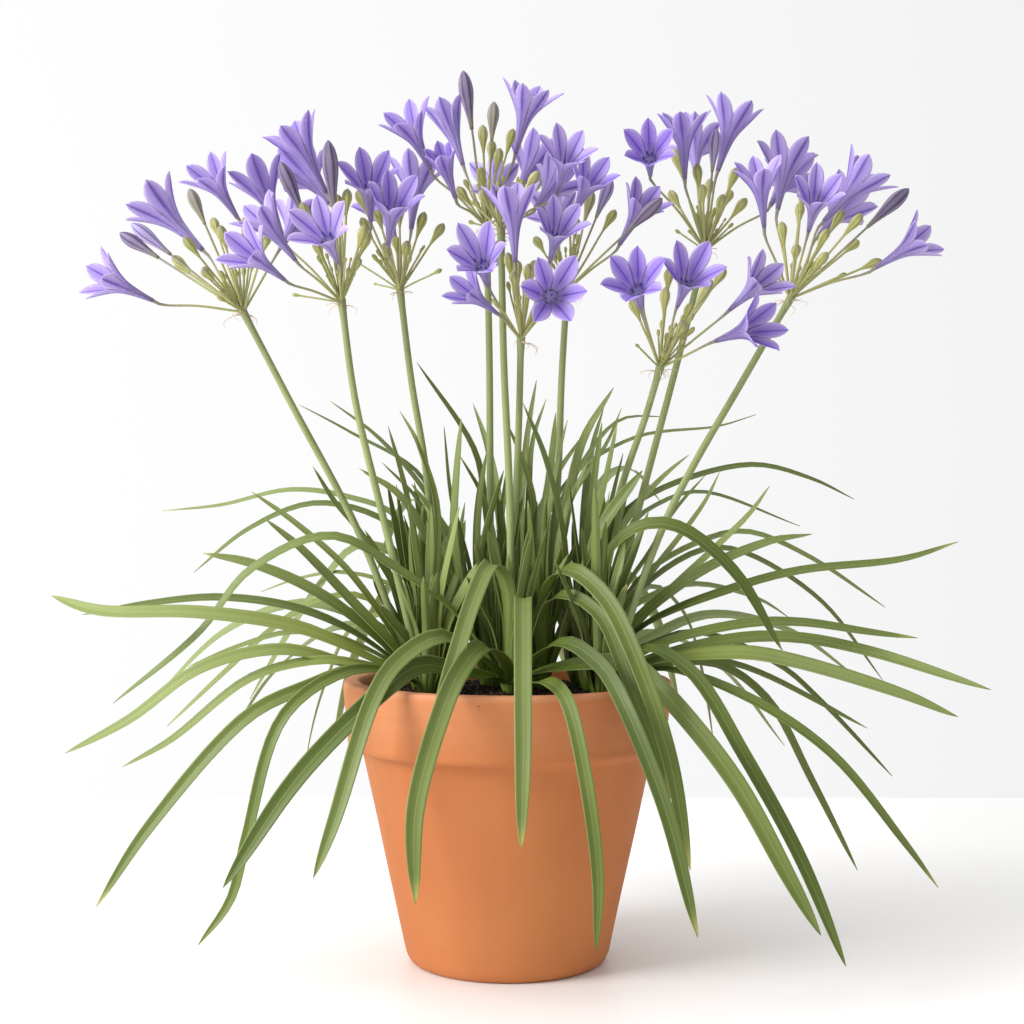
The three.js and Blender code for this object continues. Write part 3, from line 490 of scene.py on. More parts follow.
class Skin:
    """The points, faces, pattern coordinates and looks of one piece as it builds up."""

    def __init__(self):
        self.points = []
        self.faces = []
        self.spots = []
        self.looks = []

    def face(self, corners, spots):
        """A face, with the spot of each corner on the pattern."""
        self.faces.append(corners)
        self.spots.extend(spots)

    def ring(self, points, look):
        """A ring of points that share one look."""
        self.points.extend(points)
        self.looks.extend([look] * len(points))

    def strip(self, rings, seams, shares, look):
        """A closed strip through rings of points. Each seam gives the pattern's u on both
        sides of one span of a ring, and each share the pattern's v on one ring."""
        start = len(self.points)
        count = len(rings[0])
        for ring in rings:
            self.ring(ring, look)
        for level in range(len(rings) - 1):
            low = start + level * count
            high = low + count
            v_low, v_high = shares[level], shares[level + 1]
            for side, (u_from, u_to) in enumerate(seams):
                after = (side + 1) % count
                self.face(
                    (low + side, low + after, high + after, high + side),
                    ((u_from, v_low), (u_to, v_low), (u_to, v_high), (u_from, v_high)),
                )
        last = start + (len(rings) - 1) * count
        first_cap = range(start + count - 1, start - 1, -1)
        last_cap = range(last, last + count)
        for cap, share in ((first_cap, shares[0]), (last_cap, shares[-1])):
            self.face(tuple(cap), [(seams[0][0], share)] * count)

    def mesh(self, name):
        """The finished mesh in metres, every closed shell facing outwards."""
        made = bpy.data.meshes.new(name)
        made.from_pydata([point * MM for point in self.points], [], self.faces)
        pattern = made.uv_layers.new(name="pattern")
        pattern.data.foreach_set("uv", [number for spot in self.spots for number in spot])
        carry(made, "look", self.looks)
        made.shade_smooth()
        shells = bmesh.new()
        shells.from_mesh(made)
        bmesh.ops.recalc_face_normals(shells, faces=shells.faces)
        shells.to_mesh(made)
        shells.free()
        return made

    def shape(self, name):
        """A small shape to copy, whose look comes from the points that it is copied to."""
        mesh = self.mesh(name)
        mesh.attributes.remove(mesh.attributes["look"])
        return piece_of(name, mesh)


def round_seams(sides):
    """The pattern's u once around a ring."""
    return [(side / sides, (side + 1) / sides) for side in range(sides)]


def two_faced_seams(section):
    """The pattern's u around a thin strip: 0 to 1 over its upper face and 3 to 2 under it."""
    marks = [(across + 1) / 2 for across in section]
    upper = list(zip(marks, marks[1:]))
    lower = [(2 + high, 2 + low) for low, high in reversed(upper)]
    return [*upper, (1, 1), *lower, (0, 0)]


def piece_of(name, mesh, *finishes):
    """An object of the mesh with its finishes."""
    made = bpy.data.objects.new(name, mesh)
    bpy.context.scene.collection.objects.link(made)
    for finish in finishes:
        if finish.name not in mesh.materials:
            mesh.materials.append(finish)
    return made


def joined(name, pieces):
    """Several pieces as one object that keeps each one's finish."""
    first = pieces[0]
    with bpy.context.temp_override(
        active_object=first, object=first, selected_objects=pieces, selected_editable_objects=pieces,
    ):
        bpy.ops.object.join()
    first.name = name
    first.data.name = name
    return first


def rounded(profile, radius, steps=3):
    """A profile with its corners rounded."""
    smooth = [profile[0]]
    for before, corner, after in zip(profile, profile[1:], profile[2:]):
        reach = min(radius, (before - corner).length * 0.45, (after - corner).length * 0.45)
        start = corner + (before - corner).normalized() * reach
        end = corner + (after - corner).normalized() * reach
        for t in even_shares(steps):
            smooth.append(start * (1 - t) ** 2 + corner * (2 * t * (1 - t)) + end * t ** 2)
    smooth.append(profile[-1])
    return smooth


# Sheets of nodes


def socket_of(node, name):
    """A node's input by its name in plain letters."""
    return next(
        socket for socket in node.inputs
        if socket.name.lower().replace(" ", "_") == name and socket.enabled
    )


def result_of(node):
    """The output that a node's settings leave in use."""
    return next(socket for socket in node.outputs if socket.enabled)


class Value:
    """A socket of a sheet, with the sums that the finishes are written in."""

    def __init__(self, sheet, socket):
        self.sheet = sheet
        self.socket = socket

    def __add__(self, other):
        return self.sheet.sum("ADD", self, other)

    def __sub__(self, other):
        return self.sheet.sum("SUBTRACT", self, other)

    def __mul__(self, other):
        return self.sheet.sum("MULTIPLY", self, other)

    def __pow__(self, other):
        return self.sheet.sum("POWER", self, other)

    def __rsub__(self, other):
        return self.sheet.sum("SUBTRACT", other, self)

    __radd__ = __add__
    __rmul__ = __mul__


class Sheet:
    """A tree of nodes that is filled in one node at a time."""

    def __init__(self, tree):
        self.tree = tree

    def node(self, kind, settings=None, **inputs):
        """A node with its settings made first, and its inputs set or linked by name."""
        made = self.tree.nodes.new(kind)
        for name, value in (settings or {}).items():
            setattr(made, name, value)
        for name, value in inputs.items():
            self.put(value, socket_of(made, name))
        return made

    def put(self, value, socket):
        """Links or sets one socket."""
        if isinstance(value, Value):
            value = value.socket
        if isinstance(value, bpy.types.NodeSocket):
            self.tree.links.new(value, socket)
        else:
            socket.default_value = value

    def sum(self, operation, *terms):
        """One sum on numbers."""
        made = self.node("ShaderNodeMath", {"operation": operation})
        for term, socket in zip(terms, made.inputs):
            self.put(term, socket)
        return Value(self, made.outputs[0])


# Node trees that lay out what repeats or follows a line

# About a whole turn, in radians

WHOLE_TURN = 6.28


class Layout(Sheet):
    """A geometry node tree with named inputs, run on a carrier mesh and turned into a plain
    mesh."""

    def __init__(self, name):
        super().__init__(bpy.data.node_groups.new(name, "GeometryNodeTree"))
        for way in ("INPUT", "OUTPUT"):
            self.tree.interface.new_socket("Geometry", in_out=way, socket_type="NodeSocketGeometry")
        self.entry = self.node("NodeGroupInput")
        self.exit = self.node("NodeGroupOutput")

    def size(self, name, kind):
        """A named input, as the socket that carries it."""
        self.tree.interface.new_socket(name, in_out="INPUT", socket_type=kind)
        return self.entry.outputs[name]

    def carrier(self):
        """The mesh that the tree is run on."""
        return self.entry.outputs["Geometry"]

    def carried(self, name, kind):
        """A value that the carrier's points carry."""
        return result_of(self.node("GeometryNodeInputNamedAttribute", {"data_type": kind}, name=name))

    def copies(self, points, shape, rotation, scale):
        """Copies of a small shape on points."""
        source = self.node("GeometryNodeObjectInfo", {"transform_space": "ORIGINAL"}, object=shape)
        made = self.node(
            "GeometryNodeInstanceOnPoints", points=points, instance=source.outputs["Geometry"],
            rotation=rotation, scale=scale,
        )
        return made.outputs[0]

    def close(self, geometry, finish):
        """Ends the tree: copies made real, smoothed and given their finish."""
        real = self.node("GeometryNodeRealizeInstances", geometry=geometry)
        smooth = self.node("GeometryNodeSetShadeSmooth", geometry=real.outputs[0])
        faced = self.node("GeometryNodeSetMaterial", geometry=smooth.outputs[0], material=finish)
        self.put(faced.outputs[0], self.exit.inputs[0])

    def run(self, name, carrier, **sizes):
        """The plain mesh object that the tree makes from a carrier mesh."""
        holder = piece_of(f"{name}_carrier", carrier)
        modifier = holder.modifiers.new("layout", "NODES")
        modifier.node_group = self.tree
        for item in self.tree.interface.items_tree:
            key = item.name.lower().replace(" ", "_")
            if item.in_out == "INPUT" and key in sizes:
                modifier[item.identifier] = sizes[key]
        depsgraph = bpy.context.evaluated_depsgraph_get()
        evaluated = holder.evaluated_get(depsgraph)
        mesh = bpy.data.meshes.new_from_object(
            evaluated, preserve_all_data_layers=True, depsgraph=depsgraph,
        )
        mesh.name = name
        holder.modifiers.remove(modifier)
        bpy.data.objects.remove(holder)
        return piece_of(name, mesh)


def line_layout():
    """Round stems along lines, each as thick as its points say."""
    layout = Layout("stems")
    sides = layout.size("Sides", "NodeSocketInt")
    finish = layout.size("Finish", "NodeSocketMaterial")
    lines = layout.node("GeometryNodeMeshToCurve", mesh=layout.carrier())
    round_section = layout.node("GeometryNodeCurvePrimitiveCircle", resolution=sides, radius=1.0)
    skin = layout.node(
        "GeometryNodeCurveToMesh", curve=lines.outputs[0], profile_curve=round_section.outputs[0],
        scale=layout.carried("thick", "FLOAT"), fill_caps=True,
    )
    layout.close(skin.outputs[0], finish)
    return layout


def copy_layout():
    """Copies of one small shape on points, each facing and sized as its point says."""
    layout = Layout("copies")
    shape = layout.size("Shape", "NodeSocketObject")
    finish = layout.size("Finish", "NodeSocketMaterial")
    facing = layout.node(
        "FunctionNodeAlignRotationToVector", {"axis": "Z"}, vector=layout.carried("facing", "FLOAT_VECTOR"),
    )
    points = layout.node("GeometryNodeMeshToPoints", mesh=layout.carrier())
    size = layout.carried("size", "FLOAT_VECTOR")
    copies = layout.copies(points.outputs[0], shape, facing.outputs[0], size)
    layout.close(copies, finish)
    return layout


def crumb_layout():
    """Crumbs scattered over the carrier's faces, turned and sized at random."""
    layout = Layout("crumbs")
    shape = layout.size("Shape", "NodeSocketObject")
    finish = layout.size("Finish", "NodeSocketMaterial")
    density = layout.size("Density", "NodeSocketFloat")
    smallest = layout.size("Smallest", "NodeSocketFloat")
    largest = layout.size("Largest", "NodeSocketFloat")
    seed = layout.size("Seed", "NodeSocketInt")
    spots = layout.node(
        "GeometryNodeDistributePointsOnFaces", mesh=layout.carrier(), density=density, seed=seed,
    )
    sizes = layout.node(
        "FunctionNodeRandomValue", {"data_type": "FLOAT"}, min=smallest, max=largest, seed=seed,
    )
    turns = layout.node(
        "FunctionNodeRandomValue", {"data_type": "FLOAT_VECTOR"}, min=(0, 0, 0), max=(WHOLE_TURN,) * 3,
        seed=seed,
    )
    copies = layout.copies(spots.outputs["Points"], shape, result_of(turns), result_of(sizes))
    layout.close(copies, finish)
    return layout


class Lines:
    """Lines with a thickness and a look at each point."""

    def __init__(self):
        self.points = []
        self.edges = []
        self.thick = []
        self.looks = []

    def add(self, points, thicknesses, look_at):
        """One more line. Its look is given by the share of the way along it."""
        start = len(self.points)
        last = len(points) - 1
        self.points.extend(points)
        self.edges.extend((start + step, start + step + 1) for step in range(last))
        self.thick.extend((thickness * MM,) for thickness in thicknesses)
        self.looks.extend(look_at(share) for share in even_shares(last))

    def stems(self, layout, name, finish, sides):
        """Round stems along all the lines."""
        mesh = carrier(name, self.points, self.edges, thick=self.thick, look=self.looks)
        return layout.run(name, mesh, sides=sides, finish=finish)


class Copies:
    """The spots that a small shape is copied to: the facing, size and look of each copy."""

    def __init__(self):
        self.feet = []
        self.facings = []
        self.sizes = []
        self.looks = []

    def add(self, foot, facing, radius, length, look=NO_LOOK):
        """One more copy: its foot, its facing, how wide and how long it is, and its look."""
        self.feet.append(foot)
        self.facings.append(facing)
        self.sizes.append((radius * MM, radius * MM, length * MM))
        self.looks.append(look)

    def pieces(self, layout, name, shape, finish):
        """All the copies as one object."""
        mesh = carrier(name, self.feet, [], facing=self.facings, size=self.sizes, look=self.looks)
        return layout.run(name, mesh, shape=shape, finish=finish)


# Finishes

# Small dark marks in the clay: where each is, and its size

CLAY_MARKS = [
    ((-13.6, -84, 140.4), 0.9),
    ((-13.2, -84, 138.9), 0.6),
    ((-4.3, -69, 87.9), 0.8),
    ((31, -67, 60), 0.5),
    ((-38, -59, 74), 0.5),
]


class Finish(Sheet):
    """A material as a sheet of nodes."""

    def __init__(self, name, **settings):
        self.material = bpy.data.materials.new(name)
        self.material.use_nodes = True
        super().__init__(self.material.node_tree)
        self.shader = self.tree.nodes["Principled BSDF"]
        for key, value in settings.items():
            self.put(value, socket_of(self.shader, key))

    def step(self, value, low, high):
        """0 below a span, 1 above it, and a smooth rise between."""
        smooth = {"interpolation_type": "SMOOTHSTEP"}
        made = self.node("ShaderNodeMapRange", smooth, value=value, from_min=low, from_max=high)
        return Value(self, made.outputs[0])

    def peak(self, value, width):
        """1 where a value is 0, falling to 0 at a width from it."""
        return 1 - self.step(self.sum("ABSOLUTE", value), width * 0.15, width)

    def wave(self, value, kind="SINE"):
        """A wave between 0 and 1."""
        return self.sum(kind, value) * 0.5 + 0.5

    def mix(self, share, low, high):
        """A colour between two."""
        return Value(self, result_of(
            self.node("ShaderNodeMix", {"data_type": "RGBA"}, factor=share, a=low, b=high)
        ))

    def spot(self):
        """The place on the object."""
        return self.node("ShaderNodeTexCoord").outputs["Object"]

    def noise(self, scale, detail=3, stretch=(1, 1, 1), offset=(0, 0, 0)):
        """Cloudy values on the object's own coordinates."""
        turned = self.node("ShaderNodeMapping", vector=self.spot(), location=offset, scale=stretch)
        made = self.node("ShaderNodeTexNoise", vector=turned.outputs[0], scale=scale, detail=detail)
        return Value(self, made.outputs[0])

    def near(self, spot, radius):
        """1 at a place on the object, falling to 0 at a radius from it."""
        off = self.node("ShaderNodeVectorMath", {"operation": "DISTANCE"})
        self.put(self.spot(), off.inputs[0])
        self.put(Vector(spot) * MM, off.inputs[1])
        return 1 - self.step(Value(self, off.outputs["Value"]), radius * 0.4 * MM, radius * MM)

    def height(self):
        """The height on the object, in metres."""
        parts = self.node("ShaderNodeSeparateXYZ", vector=self.spot())
        return Value(self, parts.outputs[2])

    def pattern(self):
        """The piece's own pattern coordinates."""
        spots = self.node("ShaderNodeUVMap", {"uv_map": "pattern"})
        parts = self.node("ShaderNodeSeparateXYZ", vector=spots.outputs[0])
        return Value(self, parts.outputs[0]), Value(self, parts.outputs[1])

    def strip_pattern(self):
        """The pattern of a thin strip: 1 on its lower face, the share of the way across it,
        0 on its middle line to 1 on its margins, and the share of the way along it."""
        u, v = self.pattern()
        lower = self.step(u, 1.4, 1.6)
        across = u - lower * 2
        return lower, across, self.sum("ABSOLUTE", across - 0.5) * 2, v

    def look(self):
        """The three looks that each point carries."""
        reader = self.node("ShaderNodeAttribute", {"attribute_name": "look"})
        parts = self.node("ShaderNodeSeparateColor", color=reader.outputs["Color"])
        return [Value(self, socket) for socket in parts.outputs]

    def paint(self, colour, roughness=None, relief=None, depth=0.0002, strength=0.2):
        """Connects the finished colour, roughness and relief."""
        self.put(colour, self.shader.inputs["Base Color"])
        if roughness is not None:
            self.put(roughness, self.shader.inputs["Roughness"])
        if relief is not None:
            bump = self.node("ShaderNodeBump", height=relief, distance=depth, strength=strength)
            self.put(bump.outputs[0], self.shader.inputs["Normal"])
        return self.material


def clay_finish():
    """Fired clay: smooth warm orange, clouded paler, with a few dark marks and a painted highlight along the
    top of the rim.
    """
    clay = Finish("clay", specular_ior_level=0.25)
    cloud = clay.noise(11, 4)
    drift = clay.noise(5, 2, stretch=(1, 1, 2.4), offset=(0.3, 0.1, 0.2))
    grain = clay.noise(700, 2)
    turning = clay.noise(40, 2, stretch=(0.05, 0.05, 6))
    # Painted highlight: the top edge of the rim is painted paler, where the lip catches the light.
    edge = clay.peak(clay.height() - POT_HEIGHT * MM, 0.004)
    colour = clay.mix(clay.step(cloud, 0.3, 0.7), shade("BD7243"), shade("C77E4B"))
    colour = clay.mix(clay.step(drift, 0.5, 0.72) * 0.3, colour, shade("D8966E"))
    colour = clay.mix(clay.step(turning, 0.5, 0.75) * 0.12, colour, shade("B4653C"))
    # The painted highlight along the rim's top edge.
    colour = clay.mix(edge * 0.35, colour, shade("DDA27E"))
    for spot, size in CLAY_MARKS:
        colour = clay.mix(clay.near(spot, size) * 0.6, colour, shade("6B3A26"))
    relief = grain * 0.3 + turning * 0.3 + cloud * 0.5
    return clay.paint(colour, 0.68 + cloud * 0.12, relief, depth=0.0003)


def soil_finish():
    """Moist potting soil, nearly black with brown fibre."""
    earth = Finish("soil", specular_ior_level=0.25)
    lumps = earth.noise(170, 4)
    fibre = earth.noise(420, 2, stretch=(1, 3, 1))
    colour = earth.mix(earth.step(lumps, 0.35, 0.7), shade("1A120D"), shade("3A2A1F"))
    colour = earth.mix(earth.step(fibre, 0.62, 0.72) * 0.6, colour, shade("6B4D33"))
    return earth.paint(colour, 0.92 - lumps * 0.15, lumps + fibre * 0.4, depth=0.002, strength=0.8)


def leaf_finish():
    """A grassy blade: fine lengthwise veins, a paler keel and thin pale margins, a base of
    rich green that is partly its own colour and partly painted shade, and a greyer bloom further
    up. Its looks are its tone, how far its tip has yellowed and how pale it stands in the light."""
    leaf = Finish("leaf", specular_ior_level=0.4)
    lower, across, off, along = leaf.strip_pattern()
    tone, yellowed, pale = leaf.look()
    veins = leaf.wave(across * 50)
    broad = leaf.wave(across * 17 + 0.8)
    keel = leaf.peak(off, 0.1)
    cloud = leaf.noise(30)
    colour = leaf.mix(leaf.step(tone + cloud * 0.3, 0.2, 1.15), shade("46590E"), shade("83903A"))
    colour = leaf.mix(leaf.step(tone, 0.7, 0.85) * (1 - pale) * 0.3, colour, shade("96A045"))
    colour = leaf.mix(veins * 0.16, colour, shade("939E58"))
    colour = leaf.mix(broad * 0.18, colour, shade("3C4C0A"))
    bloom = leaf.step(along, 0.25, 0.6) * leaf.step(tone, 0.2, 0.9)
    colour = leaf.mix(bloom * 0.32, colour, shade("8E9D70"))
    colour = leaf.mix(lower * 0.4, colour, shade("84924C"))
    colour = leaf.mix(pale * 0.55, colour, shade("A0AE7C"))
    colour = leaf.mix(keel * 0.3, colour, shade("A2AE6E"))
    colour = leaf.mix(leaf.step(off, 0.9, 0.985) * 0.4, colour, shade("A9B473"))
    # Partly painted shade: the base is darkened to a deep rich green. This is partly the blade's own colour
    # and partly the shade among the crowded leaf bases.
    base = 1 - leaf.step(along, 0.05, 0.32)
    colour = leaf.mix(base * 0.65, colour, shade("567010"))
    tip = leaf.step(along + cloud * 0.04, 1.03 - yellowed * 0.16, 1.06 - yellowed * 0.05)
    colour = leaf.mix(tip * 0.7, colour, shade("BDB563"))
    dry = leaf.step(along, 0.988, 0.999) * leaf.step(yellowed, 0.3, 0.6)
    colour = leaf.mix(dry, colour, shade("A5793F"))
    relief = veins * 0.25 + broad * 0.5 - keel * 0.8
    return leaf.paint(colour, 0.42 + cloud * 0.14, relief, depth=0.00015)


def stem_finish():
    """Scapes and stalks. Their looks are the share of the way up, how thin they are and
    how purple the end is."""
    stem = Finish("stem", specular_ior_level=0.35)
    along, thin, purple = stem.look()
    streak = stem.noise(130, 2, stretch=(1, 1, 0.06))
    cloud = stem.noise(30)
    colour = stem.mix(stem.step(along, 0.05, 0.8), shade("8F9D67"), shade("8C965C"))
    colour = stem.mix(thin, colour, shade("ABAA72"))
    colour = stem.mix(stem.step(streak, 0.42, 0.7) * (1 - thin) * 0.3, colour, shade("B1B87F"))
    colour = stem.mix(stem.step(cloud, 0.4, 0.75) * 0.25, colour, shade("76834A"))
    colour = stem.mix(purple * 0.8, colour, shade("75688A"))
    return stem.paint(colour, 0.5 + cloud * 0.12, streak, depth=0.0001)


def bud_finish():
    """Closed buds: six ribs, yellow-green when small, greyish violet when near opening. Their
    looks are how near they are, a tone, and how pale the nearest ones have turned."""
    bud = Finish("bud", specular_ior_level=0.3)
    around, along = bud.pattern()
    near, tone, light = bud.look()
    ribs = bud.wave(around * (12 * math.pi), "COSINE")
    cloud = bud.noise(90, 2)
    green = bud.mix(ribs ** 2, shade("B4B46C"), shade("82864B"))
    green = bud.mix(bud.step(along, 0.66, 0.98) * 0.65, green, shade("7A726A"))
    green = bud.mix(tone * 0.35, green, shade("C2BE7C"))
    violet = bud.mix(ribs ** 2, shade("83769A"), shade("4C3F55"))
    violet = bud.mix(light, violet, bud.mix(ribs ** 4, shade("A99ACB"), shade("5C4C90")))
    violet = bud.mix((1 - bud.step(along, 0, 0.4)) * 0.8, violet, shade("8A8668"))
    colour = bud.mix(near, green, violet)
    colour = bud.mix(bud.step(cloud, 0.4, 0.7) * 0.12, colour, shade("B3AC92"))
    return bud.paint(colour, 0.5 + cloud * 0.1, ribs)


def tepal_finish():
    """Tepals: lilac with a dark vein down the middle, paler margins and throat, and darker
    outside with a broad midrib. Their looks are a tone and a greyer cast."""
    tepal = Finish(
        "tepal", specular_ior_level=0.25, subsurface_weight=0.35, subsurface_radius=(1, 0.85, 1.1),
        subsurface_scale=0.0012,
    )
    outside, across, off, along = tepal.strip_pattern()
    tone, cast, _ = tepal.look()
    threads = tepal.wave(across * 62)
    cloud = tepal.noise(150)
    colour = tepal.mix(tepal.step(tone + cloud * 0.4, 0.3, 1.3), shade("947DCF"), shade("B6A3E2"))
    colour = tepal.mix(cast * 0.45, colour, shade("A392CB"))
    colour = tepal.mix(threads * 0.12, colour, shade("7963B6"))
    colour = tepal.mix((1 - tepal.step(off, 0, 0.6)) * 0.35, colour, shade("7A63BE"))
    margin = tepal.step(off, 0.5, 1) * tepal.step(along, 0.5, 0.72)
    colour = tepal.mix(margin * 0.4, colour, shade("CABFE9"))
    colour = tepal.mix(outside * 0.25, colour, shade("8473B4"))
    vein = tepal.peak(off, 0.14) * tepal.step(along, 0.2, 0.5)
    colour = tepal.mix(vein * 0.8, colour, shade("513D98"))
    rib = tepal.peak(off, 0.34) * outside
    colour = tepal.mix(rib * 0.65, colour, shade("5E4C90"))
    throat = (1 - tepal.step(along, 0.36, 0.62)) * (1 - outside)
    colour = tepal.mix(throat * 0.75, colour, shade("D6CCF2"))
    tube = (1 - tepal.step(along, 0.5, 0.7)) * outside
    colour = tepal.mix(tube * 0.4, colour, shade("8F81B2"))
    foot = (1 - tepal.step(along, 0, 0.26)) * outside
    colour = tepal.mix(foot * 0.8, colour, shade("7A6D8C"))
    relief = threads * 0.3 - vein * 0.8
    return tepal.paint(colour, 0.52 + cloud * 0.1, relief, depth=0.00015, strength=0.3)


def stamen_finish():
    """A stamen: a pale thread with a dark violet anther."""
    stamen = Finish("stamen", roughness=0.55, specular_ior_level=0.3)
    _, along = stamen.pattern()
    return stamen.paint(stamen.mix(stamen.step(along, 0.55, 0.62), shade("DCD5F0"), shade("7D6DBE")))


def plain_finish(name, low, high, scale, roughness):
    """A finish that only clouds between two colours."""
    sheet = Finish(name, specular_ior_level=0.3)
    cloud = sheet.noise(scale)
    colour = sheet.mix(sheet.step(cloud, 0.3, 0.7), shade(low), shade(high))
    return sheet.paint(colour, roughness + cloud * 0.1, cloud, strength=0.3)


# The pot and its soil

POT_SIDES = 128
POT_CORNER = 3.2
POT_WOBBLE = 0.25
POT_RUN = 8
SOIL_SIDES = 96
SOIL_RINGS = 34
SOIL_GAP = 0.55
SOIL_EDGE_DROP = 3
SOIL_MIDDLE = 0.01
CRUMB_RADIUS = 1.6
CRUMB_LUMPS = 0.35
CRUMB_FLAT = 0.75
CRUMB_DENSITY = 120000.0
CRUMB_SMALLEST = 0.35
CRUMB_LARGEST = 1.15


def inner_radius(height):
    """The radius of the pot's inside at a height."""
    foot = FOOT_RADIUS - WALL
    return foot + (RIM_RADIUS - RIM_WALL - foot) * (height - FLOOR) / (POT_HEIGHT - FLOOR)


def turned(name, profile, sides, wobble):
    """A closed ring of a profile of (radius, height) turned about the pot's axis."""
    skin = Skin()
    marks = [0]
    for before, after in zip(profile, profile[1:]):
        marks.append(marks[-1] + (after - before).length)
    marks.append(marks[-1])
    for point in profile:
        ring = []
        for turn in ring_turns(sides):
            drift = noise.noise(around(1, turn, point.y * 0.02)) * wobble
            radius = point.x + drift
            ring.append(around(radius, turn, point.y))
        skin.ring(ring, NO_LOOK)
    for level in range(len(profile)):
        here = level * sides
        above = (level + 1) % len(profile) * sides
        low, high = marks[level] / marks[-1], marks[level + 1] / marks[-1]
        for side, (share, further) in enumerate(round_seams(sides)):
            beside = (side + 1) % sides
            skin.face(
                (here + side, here + beside, above + beside, above + side),
                ((share, low), (further, low), (further, high), (share, high)),
            )
    return skin.mesh(name)


def pot(finish):
    """The clay pot, from the drain hole out to the foot, up the wall, over the rim's band and
    down the inside."""
    band_foot = POT_HEIGHT - RIM_DEPTH
    corners = [
        (DRAIN_RADIUS, 0.6),
        (DRAIN_RADIUS + 0.6, 0),
        (FOOT_RADIUS - 2.2, 0),
        (FOOT_RADIUS + 0.5, 4),
        (BODY_TOP_RADIUS, band_foot - 2.4),
        (RIM_FOOT_RADIUS - 1.2, band_foot - 1),
        (RIM_FOOT_RADIUS + 0.5, band_foot + 1.4),
        (RIM_FOOT_RADIUS + 0.1, band_foot + 4.6),
        (RIM_RADIUS, POT_HEIGHT - 3.5),
        (RIM_RADIUS - 0.8, POT_HEIGHT),
        (inner_radius(POT_HEIGHT) + 0.8, POT_HEIGHT),
        (inner_radius(POT_HEIGHT - 3), POT_HEIGHT - 3),
        (inner_radius(FLOOR), FLOOR),
        (DRAIN_RADIUS, FLOOR),
        (DRAIN_RADIUS, FLOOR * 0.5),
    ]
    outline = rounded([Vector(corner) for corner in corners], POT_CORNER)
    profile = []
    for before, after in zip(outline, outline[1:]):
        parts = max(1, int((after - before).length / POT_RUN))
        profile.extend(before.lerp(after, part / parts) for part in range(parts))
    profile.append(outline[-1])
    made = piece_of("pot_clay", turned("pot_clay", profile, POT_SIDES, POT_WOBBLE), finish)
    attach(made, "root")
    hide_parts("pot")


def soil_rings():
    """Rings from the middle of the soil's foot, up its side and in over its lumpy top."""
    edge = SOIL_TOP - SOIL_EDGE_DROP
    shoulder = inner_radius(edge) - SOIL_GAP
    side_rows = [
        (SOIL_MIDDLE, FLOOR + SOIL_GAP),
        (inner_radius(FLOOR) - SOIL_GAP, FLOOR + SOIL_GAP),
        (shoulder, edge),
    ]
    top_rows = []
    for ring in range(1, SOIL_RINGS):
        share = 1 - ring / SOIL_RINGS
        top_rows.append((shoulder * share, SOIL_TOP - 1.5 + (SOIL_CROWN + 1) * (1 - share * share)))
    top_rows.append((SOIL_MIDDLE, SOIL_TOP + SOIL_CROWN - 0.5))
    rings = [
        [around(radius, turn, height) for turn in ring_turns(SOIL_SIDES)]
        for radius, height in side_rows + top_rows
    ]
    for ring in rings[len(side_rows):]:
        for spot in ring:
            spot.z += 2.2 * noise.noise(spot * 0.09) + 1.3 * noise.noise(spot * 0.3)
    return rings


def soil_surface(mesh):
    """A copy of the soil's mesh that keeps only the top that shows."""
    made = bpy.data.meshes.new("soil_top")
    top = bmesh.new()
    top.from_mesh(mesh)
    hidden = [
        face for face in top.faces
        if face.normal.z < 0.4 or face.calc_center_median().z < (SOIL_TOP - 4) * MM
    ]
    bmesh.ops.delete(top, geom=hidden, context="FACES")
    top.to_mesh(made)
    top.free()
    return made


def soil(finish, layout, crumb):
    """The soil with its lumpy top, and the crumbs that lie on it."""
    skin = Skin()
    rings = soil_rings()
    skin.strip(rings, [(0, 0)] * SOIL_SIDES, [0] * len(rings), NO_LOOK)
    ground = piece_of("soil_bed", skin.mesh("soil_bed"), finish)
    crumbs = layout.run(
        "crumbs", soil_surface(ground.data), shape=crumb, finish=finish, density=CRUMB_DENSITY,
        smallest=CRUMB_SMALLEST, largest=CRUMB_LARGEST, seed=7,
    )
    bpy.data.objects.remove(crumb)
    made = joined("soil_bed", [ground, crumbs])
    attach(made, "root")
    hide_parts("soil")


def crumb_shape():
    """A lumpy crumb of soil."""
    shell = bmesh.new()
    bmesh.ops.create_icosphere(shell, subdivisions=1, radius=CRUMB_RADIUS * MM)
    for vertex in shell.verts:
        vertex.co *= 1 + CRUMB_LUMPS * noise.noise(vertex.co * 900)
        vertex.co.z *= CRUMB_FLAT
    mesh = bpy.data.meshes.new("crumb")
    shell.to_mesh(mesh)
    shell.free()
    return piece_of("crumb", mesh)


# Leaves

# A blade's cross section from margin to margin, in half widths. It is folded along its keel,
# sharply at the base and less towards the tip.

SECTION = [-1, -0.8, -0.5, -0.14, 0.14, 0.5, 0.8, 1]
BLADE_THICK = 0.5
FOLD_BASE = 0.95
FOLD_TIP = 0.3
FOLD_REACH = 0.07
FRONT_SLIM = 0.89
SMOOTH_ROUNDS = 8
MOST_TWIST = 0.16
YELLOWED_TIPS = [0, 0, 0, 0.25, 0.5]
YOUNG_LEAVES = 16
YOUNG_LEAN = (8, 30)
YOUNG_RISE = (36, 100)
YOUNG_WIDTH = (4.4, 7.6)


def blade_width(share, taper):
    """How wide a blade is along its length, as a share of its widest."""
    swell = 0.7 + 0.3 * math.sin(math.pi / 2 * min(1, share / 0.36))
    return swell * (1 - taper * share ** 3) * max(0, 1 - share ** 14) ** 0.8


def blade_side(along, level, facing):
    """The way a blade's width runs: level, and turned to show its upper face to the front."""
    side = along.cross(UP)
    if side.dot(level) < 0:
        side.negate()
    side = square_to(along, (side + level * 0.6).normalized())
    shown = along.cross(FRONT)
    clear = eased(0.1, 0.4, shown.length)
    shown.normalize()
    agree = eased(-0.7, -0.1, shown.dot(side))
    return side.lerp(shown, facing * clear * agree).normalized()


